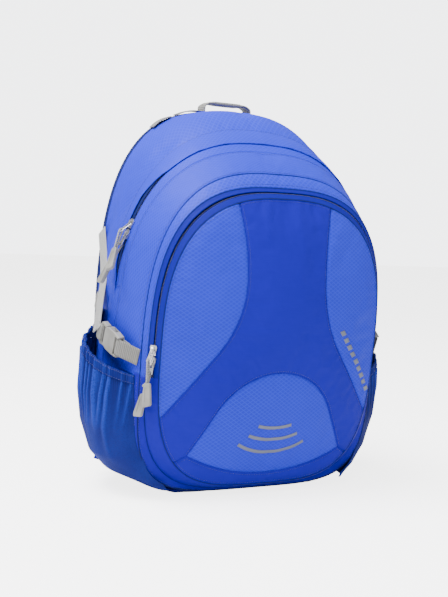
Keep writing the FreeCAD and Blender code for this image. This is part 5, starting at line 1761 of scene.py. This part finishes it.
def lowerWebbing():
    for name, (stops, out, wide, half, side) in straps.items():
        foot = stops[-1]
        backFace = rear.depthAt(strapSet["anchorHeight"]) + 3.0
        end = np.array([side * strapSet["anchorOut"], backFace + 1.6,
                        strapSet["anchorHeight"]])
        down = end + np.array([0, 1.4, 0]) - foot
        down /= np.linalg.norm(down)
        outward = np.array([0, 1.0, 0])
        outward -= down * outward.dot(down)
        outward /= np.linalg.norm(outward)
        hinge = foot + down * (strapSet["lockGap"] + strapSet["lockBar"] / 2)
        start = hinge + down * (strapSet["lockLong"] + 1.0) + outward * 1.6
        middle = (start + end) / 2 + outward * 1.2
        path = smoothPath([start, start * 0.7 + middle * 0.3, middle, end * 0.8 + middle * 0.2,
                           end])
        mesh = ribbonMesh("lower_webbing_strap_" + name, path, outward,
                          strapSet["lowerWide"], 1.3)
        obj = addObject(mesh.name, mesh, webbingGrey)
        finishPiece(obj, "lower_webbing_" + name)
        tailEnd = start + down * 34 + outward * 5 + np.array([side * -6, 0, 0])
        tail = smoothPath([start + outward * 1.8, start + down * 12 + outward * 4.0,
                           start + down * 22 + outward * 5.5, tailEnd])
        mesh = ribbonMesh("adjuster_tail_" + name, tail, outward, strapSet["lowerWide"], 1.3)
        obj = addObject(mesh.name, mesh, webbingGrey)
        worn(obj)
        flat = np.array([0, 1.0, 0])
        up = -down + flat * down.dot(flat)
        up /= np.linalg.norm(up)
        cornerSide = np.cross(up, flat)
        base = np.array([end[0], backFace + 1.6, end[2]]) + down * 2
        tabPath = [base - up * 11, base, base + up * 11]
        mesh = ribbonMesh("anchor_tab_" + name, smoothPath(tabPath), flat, 34, 2.0)
        obj = addObject(mesh.name, mesh, plainDark)
        worn(obj)
        box = []
        for a, b in (((-14, -8), (14, -8)), ((14, -8), (14, 8)), ((14, 8), (-14, 8)),
                     ((-14, 8), (-14, -8)), ((-14, -8), (14, 8)), ((-14, 8), (14, -8))):
            line = np.linspace(0, 1, 12)[:, None] * (np.array(b) - np.array(a)) + np.array(a)
            points = base + cornerSide * line[:, :1] + up * line[:, 1:] + flat * 1.1
            box.append((points, np.tile(flat, (12, 1))))
        beadsAlong("anchor_stitches_" + name, box, stitch, threadBlue)


lowerWebbing()

# ---- grab handle and the webbing along the top seam ----

handleSet = {"half": 33, "rise": 11, "wide": 20, "foot": 3, "thick": 4.0, "tuck": 7}


def grabHandle():
    top = rear.top + handleSet["foot"]
    half, rise, tuck = handleSet["half"] - 2, handleSet["rise"] - 1.6, handleSet["tuck"]
    corners = [(-half, -tuck), (-half, rise * 0.5), (-half + 1.5, rise - 3.2),
               (-half + 6.5, rise), (-half + 15, rise), (half - 15, rise), (half - 6.5, rise),
               (half - 1.5, rise - 3.2), (half, rise * 0.5), (half, -tuck)]
    path = smoothPath([(x, rear.depth, top + z) for x, z in corners], 1.6)
    middle = np.abs(path[:, 0]) / half
    out = path - np.array([0, rear.depth, top - 4])
    wide = np.interp(middle, (0, 0.45, 0.72, 1), (13.5, 14.5, 19, 20))
    thick = np.interp(middle, (0, 0.45, 0.72, 1), (5.2, 4.8, 2.6, 2.2))
    obj = addObject("grab_handle_webbing", ribbonMesh("grab_handle_webbing", path, out, wide,
                                                      thick), webbingGrey)
    finishPiece(obj, "grab_handle", "grab_handle")
    tangent, outs, across = pathFrames(path, out)
    inside = (middle < 0.62)
    paths = [(path[inside] + across[inside] * away + outs[inside] * 2.35, outs[inside])
             for away in (-4.6, 4.6)]
    beadsAlong("handle_stitches", paths, stitch, threadGrey, "grab_handle")


grabHandle()

topWebbing = {"wide": 20, "thick": 1.5, "starts": (36, 66), "outer": (74, 96)}


# short lengths of webbing that carry the strap loads into the top seam
def topTabs():
    for side, name in ((-1, "left"), (1, "right")):
        for number, (low, high) in enumerate((topWebbing["starts"], topWebbing["outer"])):
            shares = []
            for x in np.linspace(low, high, 9):
                ring = rearRing[rearRing[:, 2] > 250]
                near = ring[np.argmin(np.abs(ring[:, 0] - side * x))]
                shares.append(near)
            path = np.array(shares)
            out = path - np.array([0, rear.depth, 300])
            out /= np.linalg.norm(out, axis=1, keepdims=True)
            lift = np.sin(np.linspace(0, math.pi, 9)) * 1.2 + 2.4
            mesh = ribbonMesh("top_webbing_%s_%d" % (name, number + 1),
                              smoothPath(path + out * lift[:, None] + np.array([0, -3.0, 0])),
                              np.array([0, 0, 1.0]), topWebbing["wide"] * 0.7,
                              topWebbing["thick"])
            obj = addObject(mesh.name, mesh, webbingGrey)
            worn(obj)


topTabs()
print("straps and handle made")

# ---- side compression straps round the moulded buckles ----

sideStrap = {"rearHeight": 212, "frontHeight": 160, "yoke": 292, "stand": 0.9, "wide": 20,
             "thick": 1.3, "place": -2, "buckleThick": 8.4,
             "slotMiddle": 20.9, "endBar": 1.7, "maleLong": 13, "maleThick": 6.4}


def unit(vector):
    return vector / np.linalg.norm(vector)


def skinPoint(depth, height, side):
    line = [rear, crown, zipMain, seam, outer]
    for a, b in zip(line, line[1:]):
        near, far = a.depthAt(height), b.depthAt(height)
        if far - 1e-9 <= depth <= near + 1e-9:
            share = (near - depth) / (near - far)
            half = a.halfAt(height) + share * (b.halfAt(height) - a.halfAt(height))
            return np.array([side * half, depth, height])
    return np.array([side * seam.halfAt(height), seam.depthAt(height), height])


def strapLine(depth):
    high, low = sideStrap["rearHeight"], sideStrap["frontHeight"]
    back, ahead = rear.depthAt(high), seam.depthAt(low)
    return high + (back - depth) / (back - ahead) * (low - high)


def compressionStraps():
    thick, wide, stand = sideStrap["thick"], sideStrap["wide"], sideStrap["stand"]
    for side, name in ((-1, "left"), (1, "right")):
        along = unit(np.array([-side * 0.19, -0.93, -0.363]))
        out = np.array([side, 0.0, 0.0])
        out = unit(out - along * out.dot(along))
        across = np.cross(out, along)
        widest = skinPoint(zipMain.depthAt(190), 190, side)
        middle = np.array([widest[0] + side * (stand + sideStrap["buckleThick"] / 2 + 0.2),
                           sideStrap["place"], strapLine(sideStrap["place"])])

        # front: sewn in the seam, out over the female half's end bar and back under itself
        bar = middle + along * (sideStrap["slotMiddle"] + 3.2)
        frontAt = seam.depthAt(sideStrap["frontHeight"]) + 1.5
        sewn = skinPoint(frontAt, sideStrap["frontHeight"], side) + np.array([side, 0, 0]) * 1.4
        clear = sideStrap["endBar"] + 0.3 + thick / 2
        over = [sewn + out * 0.4, (sewn + bar) / 2 + out * 1.6, bar + along * 2 + out * clear,
                bar - along * 2.6 + out * clear, bar - along * 3.9 + out * 0.8,
                bar - along * 3.9 - out * 0.8, bar - along * 2.6 - out * clear,
                bar + along * 2 - out * clear, (sewn + bar) / 2 + out * 0.2]
        path = smoothPath(over, 1.0, 2)
        tangent = np.gradient(path, axis=0)
        tangent /= np.linalg.norm(tangent, axis=1, keepdims=True)
        outs = np.cross(tangent, across)
        mesh = ribbonMesh("front_strap_" + name, path, outs, wide, thick)
        obj = addObject(mesh.name, mesh, webbingGrey)
        finishPiece(obj, "compression_front_" + name)

        # rear: from under the male half's bar back to the rear seam
        lift = sideStrap["maleThick"] / 2 + 0.6
        hold = middle - along * (sideStrap["maleLong"] - 5.5) + out * lift
        behind = middle - along * (sideStrap["maleLong"] + 7) + out * (lift - 0.4)
        points = [hold, behind]
        for depth in (44.0, 64.0, 82.0):
            points.append(skinPoint(depth, strapLine(depth), side)
                          + np.array([side * (stand + 1.4), 0, 0]))
        path = smoothPath(points, 2.0)
        mesh = ribbonMesh("rear_strap_" + name, path, out, wide, thick)
        obj = addObject(mesh.name, mesh, webbingGrey)
        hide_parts("compression_rear_" + name)
        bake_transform(obj)

        # the smoother yoke leg, from the buckle up to the rear seam
        knee = behind + along * 3 + out * (thick + 0.5)
        mid = skinPoint(48.0, 0.5 * (sideStrap["yoke"] + strapLine(40)), side)
        high = skinPoint(82.0, sideStrap["yoke"], side)
        spaced = np.array([side * (stand + 2.4), 0, 0])
        path = smoothPath([knee, (knee + mid + spaced) / 2 + out * 1.0, mid + spaced,
                           high + spaced], 2.0)
        mesh = ribbonMesh("yoke_strap_" + name, path, out, wide * 0.9, thick)
        obj = addObject(mesh.name, mesh, webbingLight)
        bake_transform(obj)


compressionStraps()

# ---- stretch side pockets: gathered knit under an elastic hem ----

pocketSet = {"out": 191, "middle": 20, "deep": 68, "core": 112, "hemRear": 190,
             "hemFront": 136, "hemRearDepth": 84, "hemFrontDepth": -47, "hemTall": 13,
             "columns": 200, "rows": 64, "ridge": 4.4, "ridges": 14, "pleat": 1.5, "pleats": 60}
pocketLevels = ((12, -62), (24, -34), (45, -14), (80, -3), (115, 0), (160, -3), (205, -12))


def hemHeight(depth):
    rise = (pocketSet["hemRear"] - pocketSet["hemFront"]) / (
        pocketSet["hemRearDepth"] - pocketSet["hemFrontDepth"])
    return pocketSet["hemFront"] + rise * (depth - pocketSet["hemFrontDepth"])


def pocketOut(height):
    z, out = zip(*pocketLevels)
    return pocketSet["out"] + np.interp(height, z, out)


def pocketPoint(turn, height):
    wide = pocketOut(height) - pocketSet["core"]
    return (pocketSet["core"] + wide * math.cos(turn),
            pocketSet["middle"] + pocketSet["deep"] * math.sin(turn))


# the turns where the pocket meets the bag's side at a height
def pocketEnds(height):
    ends = []
    for sign in (-1, 1):
        last = 0.0
        for turn in np.linspace(0, math.pi / 2 * 0.995, 160):
            x, y = pocketPoint(sign * turn, height)
            if x < abs(skinPoint(y, height, 1)[0]) + 0.5:
                break
            last = sign * turn
        ends.append(last)
    return ends


heights = np.linspace(12, 205, 60)
endTable = np.array([pocketEnds(h) for h in heights])
for column in range(2):
    for again in range(4):
        endTable[1:-1, column] = (endTable[:-2, column] + 2 * endTable[1:-1, column]
                                  + endTable[2:, column]) / 4


# each ridge: its place at the hem, how it leans, how far it falls, its width and height
def pocketRidges():
    maker = np.random.default_rng(29)
    made = []
    for n in range(pocketSet["ridges"]):
        spot = (n + 0.5 + maker.uniform(-0.28, 0.28)) / pocketSet["ridges"]
        made.append((spot, 0.42 * (0.45 - spot) + maker.uniform(-0.10, 0.10),
                     maker.uniform(0.42, 0.86), maker.uniform(0.011, 0.017),
                     maker.uniform(0.55, 1.15)))
    made += [(0.72, -0.28, 1.0, 0.035, 0.5), (0.30, 0.16, 1.05, 0.04, 0.45)]
    return made


ridges = pocketRidges()


def ridgeAt(share, rise):
    total = 0.0
    for spot, lean, fall, width, tall in ridges:
        down = 1 - rise
        if down > fall:
            continue
        wide = width * (1 + 1.3 * down)
        away = (share - spot - lean * down ** 1.2) / wide
        fade = (1 - (down / fall) ** 2) ** 1.2
        total += tall * fade * math.exp(-away * away)
    return total


def pocketGrid(low, high, rows, columns, foldScale):
    grid = np.zeros((rows, columns, 3))
    uv = np.zeros((rows, columns, 2))
    share = np.linspace(0, 1, columns)
    fine = np.abs(np.sin(math.pi * pocketSet["pleats"] * share
                         + 1.2 * ripple(share * 100, 22, 121)))
    gather = np.zeros((rows, columns))
    for c in range(columns):
        for r in range(rows):
            v = r / (rows - 1)
            depth = pocketSet["middle"]
            for again in range(3):
                top = hemHeight(depth)
                z = 12 + (top - 12) * (low + (high - low) * v)
                first = np.interp(z, heights, endTable[:, 0])
                last = np.interp(z, heights, endTable[:, 1])
                turn = first + (last - first) * share[c]
                x, depth = pocketPoint(turn, z)
            rise = low + (high - low) * v
            edge = min(share[c], 1 - share[c])
            free = min(1.0, edge / 0.05)
            ridge, pleat = ridgeAt(share[c], rise), (fine[c] - 0.5) * rise ** 9
            swell = pocketSet["ridge"] * foldScale * (ridge - 0.45 * rise)
            swell += pocketSet["pleat"] * pleat
            # a mask for painted light on the folds: painted highlight on ridges, pleat crests
            # and towards the foot, painted shade in the troughs near the hem
            gather[r, c] = 0.35 * (1 - rise) ** 2 + ridge * foldScale + pleat * 0.9 + 0.12
            normal = np.array([math.cos(turn), math.sin(turn) * 0.9, 0])
            grid[r, c] = np.array([x, depth, z]) + normal * free * swell
            uv[r, c] = (share[c] * 210, z)
    return grid, uv, gather


def gridPatch(grid, uv):
    rows, columns = grid.shape[:2]
    faces = [(r * columns + c, r * columns + c + 1, (r + 1) * columns + c + 1,
              (r + 1) * columns + c) for r in range(rows - 1) for c in range(columns - 1)]
    return {"points": grid.reshape(-1, 3), "faces": faces, "uv": uv.reshape(-1, 2),
            "tags": [0] * len(faces)}


def makePockets():
    tall = pocketSet["hemTall"] / (hemHeight(20) - 12)
    grid, uv, gather = pocketGrid(0.0, 1 - tall, pocketSet["rows"], pocketSet["columns"], 1.0)
    hemGrid, hemUv, hemFoldShading = pocketGrid(1 - tall, 1.0, 8, pocketSet["columns"], 0.55)
    swell = np.array([0.2, 0.75, 1.0, 1.0, 1.0, 1.0, 0.8, 0.2])[:, None, None]
    outward = hemGrid - np.array([pocketSet["core"], pocketSet["middle"], 0])
    outward[..., 2] = 0
    outward /= np.linalg.norm(outward, axis=2, keepdims=True)
    hemGrid = hemGrid + outward * swell * 0.9
    for side, name in ((-1, "left"), (1, "right")):
        flip = np.array([side, 1, 1])
        for kind, shape, map2, paintedFolds, finish, node, slotName, wall in (
                ("pocket_knit_", grid, uv, gather, stretchMesh, "side_pocket_",
                 "stretch_mesh", 1.0),
                ("pocket_elastic_", hemGrid, hemUv, hemFoldShading, stretchHem, "pocket_hem_",
                 "stretch_hem", 2.0)):
            patch = gridPatch(shape * flip, map2)
            turnedOut(patch)
            mesh = patchMesh(kind + name, patch)
            # store the fold mask that the knit material turns into painted highlight and painted
            # shade
            mesh.attributes.new("gather", "FLOAT", "POINT").data.foreach_set(
                "value", paintedFolds.astype(np.float32).ravel())
            obj = subdivided(addObject(kind + name, mesh, finish))
            thickened(obj, wall)
            finishPiece(obj, node + name)
        rows = []
        for row in (1, 6):
            path = hemGrid[row] * flip + outward[row] * flip * 0.35
            rows.append((path[2:-2], (outward[row] * flip)[2:-2]))
        beadsAlong("hem_stitches_" + name, rows, stitch, threadNavy)


makePockets()
print("pockets made")

# ---- zip pulls: a doubled cord looped through each tab, ending in a moulded tip ----

pull = {"mainHeight": 302, "pocketHeight": 170, "rest": 8, "upperRest": 32, "mainFan": (26, -2),
        "pocketFan": (9, -9), "pitch": 12.6, "plate": 1.2, "gap": 0.8, "pin": 0.6, "tab": 14.5,
        "edge": 0.8, "hole": 1.9, "reach": 24, "turn": 2.0, "pair": 1.35, "diameter": 2.2}


def circleThrough(a, b, c):
    u, v = b - a, c - a
    w = np.cross(u, v)
    centre = a + (np.cross(w, u) * v.dot(v) + np.cross(v, w) * u.dot(u)) / (2 * w.dot(w))
    return centre


class Track:
    def __init__(self, line, behind, ahead, heights):
        self.line, self.behind, self.ahead = line, behind, ahead
        points = [self.spot(line, z) for z in heights]
        self.centre = circleThrough(*points)
        self.axis = unit(np.array([0, 1, -line.lean]))

    def spot(self, line, height):
        return np.array([-line.halfAt(height), line.depthAt(height), height])

    def frameAt(self, height):
        point = self.spot(self.line, height)
        outward = unit(point - self.centre)
        up = unit(np.cross(self.axis, outward))
        if up[2] < 0:
            up = -up
        slant = self.spot(self.ahead, height) - self.spot(self.behind, height)
        across = unit(slant - up * slant.dot(up))
        out = np.cross(across, up)
        return point - out * skin["tapeThick"] / 2, across, up, out


def turned(vector, axis, degrees):
    return np.array(Matrix.Rotation(math.radians(degrees), 3, Vector(axis)) @ Vector(vector))


def cordRoute(point, across, up, out, rest, fan):
    rise = skin["tapeThick"] / 2 + pull["gap"] + pull["plate"] + 0.35 + pull["pin"]
    hinge = point + out * rise - up * 0.6
    tabUp, tabOut = turned(up, across, -rest), turned(out, across, -rest)
    hole = pull["tab"] - pull["pin"] - pull["edge"] - pull["hole"]
    middle = hinge - tabUp * hole
    high = turned(tabUp, tabOut, fan)
    bend = math.radians(rest - pull["rest"])
    low = -high * math.cos(bend) - tabOut * math.sin(bend)
    square = -high * math.sin(bend) + tabOut * math.cos(bend)
    half = -high * math.sin(bend / 2) + tabOut * math.cos(bend / 2)
    strands = []
    for sign in (1, -1):
        knee = middle - high * 3.4
        rest2 = pull["reach"] - 3.4
        strands.append([middle + tabOut * sign * pull["turn"],
                        knee + half * (sign * pull["turn"] / math.cos(bend / 2)),
                        knee + low * 0.5 * rest2 + square * (
                            sign * 0.5 * (pull["turn"] + pull["pair"])),
                        knee + low * rest2 + square * (sign * pull["pair"])])
    return strands[0][::-1] + strands[1], low, square


def cordCurve(name, route):
    data = bpy.data.curves.new(name, "CURVE")
    data.dimensions = "3D"
    spline = data.splines.new("NURBS")
    spline.points.add(len(route) - 1)
    for spot, place in zip(spline.points, route):
        spot.co = (*(place * mm), 1)
    spline.order_u = 3
    spline.use_endpoint_u = True
    data.bevel_depth = pull["diameter"] / 2 * mm
    data.bevel_resolution = 4
    data.resolution_u = 16
    data.use_fill_caps = True
    data.materials.append(cordGrey)
    obj = bpy.data.objects.new(name, data)
    scene.collection.objects.link(obj)
    return obj


# a loose overhand knot drawn tight round a doubled cord
def cordKnot(name, place, along, out, body):
    turns = np.linspace(0, 2 * math.pi, 72)
    side = np.cross(along, out)
    x = 2.6 * (np.sin(turns) + 0.75 * np.sin(2 * turns))
    y = 1.6 * (np.cos(turns) - 1.1 * np.cos(2 * turns))
    z = -1.5 * np.sin(3 * turns)
    points = place + side * x[:, None] + along * y[:, None] + out * z[:, None]
    obj = addObject(name, roundTube(name, points, pull["diameter"] / 2 * 0.92, 9), cordGrey)
    worn(obj, body)
    return obj


def makeCords():
    tracks = {"main": (Track(zipLine, tapeRear, tapeFront, (262, 290, 332)),
                       pull["mainHeight"], pull["mainFan"]),
              "pocket": (Track(pocketZip, outer, inner, (145, 165, 200)),
                         pull["pocketHeight"], pull["pocketFan"])}
    for kind, (track, height, fan) in tracks.items():
        lower = height - pull["pitch"] * track.frameAt(height)[2][2]
        for level, spot, rest, spread in (("upper", height, pull["upperRest"], fan[0]),
                                          ("lower", lower, pull["rest"], fan[1])):
            name = kind + "_" + level
            point, across, up, out = track.frameAt(spot)
            route, low, square = cordRoute(point, across, up, out, rest, spread)
            obj = cordCurve("cord_" + name, route)
            body = "pull_" + name
            if name == "pocket_lower":
                cordKnot("cord_knot", route[1] * 0.5 + route[-2] * 0.5, low,
                                      square, body)
            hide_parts("pull_cord_" + name)
            worn(obj, body)
            bare = obj.data.copy()
            bare.bevel_depth = 0
            probe = bpy.data.objects.new("probe", bare)
            scene.collection.objects.link(probe)
            line = readPoints(bpy.data.meshes.new_from_object(
                probe.evaluated_get(bpy.context.evaluated_depsgraph_get())))
            bpy.data.objects.remove(probe)


makeCords()
print("cords made")

# ---- moulded and metal parts keep their frame shape and take their finish here ----


def finishNodes():
    for name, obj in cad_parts.items():
        finish = None
        if name.startswith(("slider_", "pull_tab_")):
            finish = zipMetal
        elif name.startswith(("buckle_", "ladder_lock_")):
            finish = buckleGrey
        elif name.startswith("pull_tip_"):
            finish = tipGrey
        if finish:
            obj.data.materials.clear()
            obj.data.materials.append(finish)


finishNodes()

# ---- light and floor ----


studio = {"floorGlow": 3.6, "backdrop": 4.6, "sky": 0.5,
          "lights": {"key": ((-1.2, -1.5, 1.9), 40, 1.2), "fill": ((1.7, -1.2, 1.0), 12, 1.4),
                     "top": ((-0.75, 0.0, 1.9), 84, 1.1)}}


# pale floor and backdrop; their glow is seen but lights nothing
def makeStudio():
    floorMesh = bpy.data.meshes.new("studioFloor")
    floorMesh.from_pydata([(-6, -6, 0), (6, -6, 0), (6, 6, 0), (-6, 6, 0)], [], [(0, 1, 2, 3)])
    material, tree, shader = newMaterial("studioFloor", 0.85)
    fade = useGroup(tree, fadeGroup, {"Place": coordinates(tree, "Object"), "Scale": 1.5})
    colour = mixColours(tree, fade["Fade"], (0.86, 0.86, 0.87), (0.9, 0.9, 0.9))
    tree.links.new(colour, shader.inputs["Base Color"])
    shader.inputs["Emission Color"].default_value = (1, 1, 1, 1)
    lit = tree.nodes.new("ShaderNodeLightPath").outputs["Is Camera Ray"]
    tree.links.new(maths(tree, "MULTIPLY", lit, studio["floorGlow"]),
                   shader.inputs["Emission Strength"])
    addObject("studioFloor", floorMesh, material, smooth=False)
    world = bpy.data.worlds.new("studio")
    world.use_nodes = True
    sky = world.node_tree
    sky.nodes["Background"].inputs["Color"].default_value = (0.97, 0.98, 1.0, 1)
    seen = sky.nodes.new("ShaderNodeLightPath").outputs["Is Camera Ray"]
    strength = maths(sky, "MULTIPLY_ADD", seen, studio["backdrop"] - studio["sky"])
    strength.node.inputs[2].default_value = studio["sky"]
    sky.links.new(strength, sky.nodes["Background"].inputs["Strength"])
    scene.world = world
    for name, (place, power, size) in studio["lights"].items():
        data = bpy.data.lights.new(name + "Light", "AREA")
        data.energy, data.size, data.shape = power, size, "DISK"
        obj = bpy.data.objects.new(name + "Light", data)
        aim = Vector((0, 0, 0.22)) - Vector(place)
        obj.matrix_world = Matrix.Translation(place) @ aim.to_track_quat("-Z", "Y").to_matrix(
        ).to_4x4()
        scene.collection.objects.link(obj)


makeStudio()
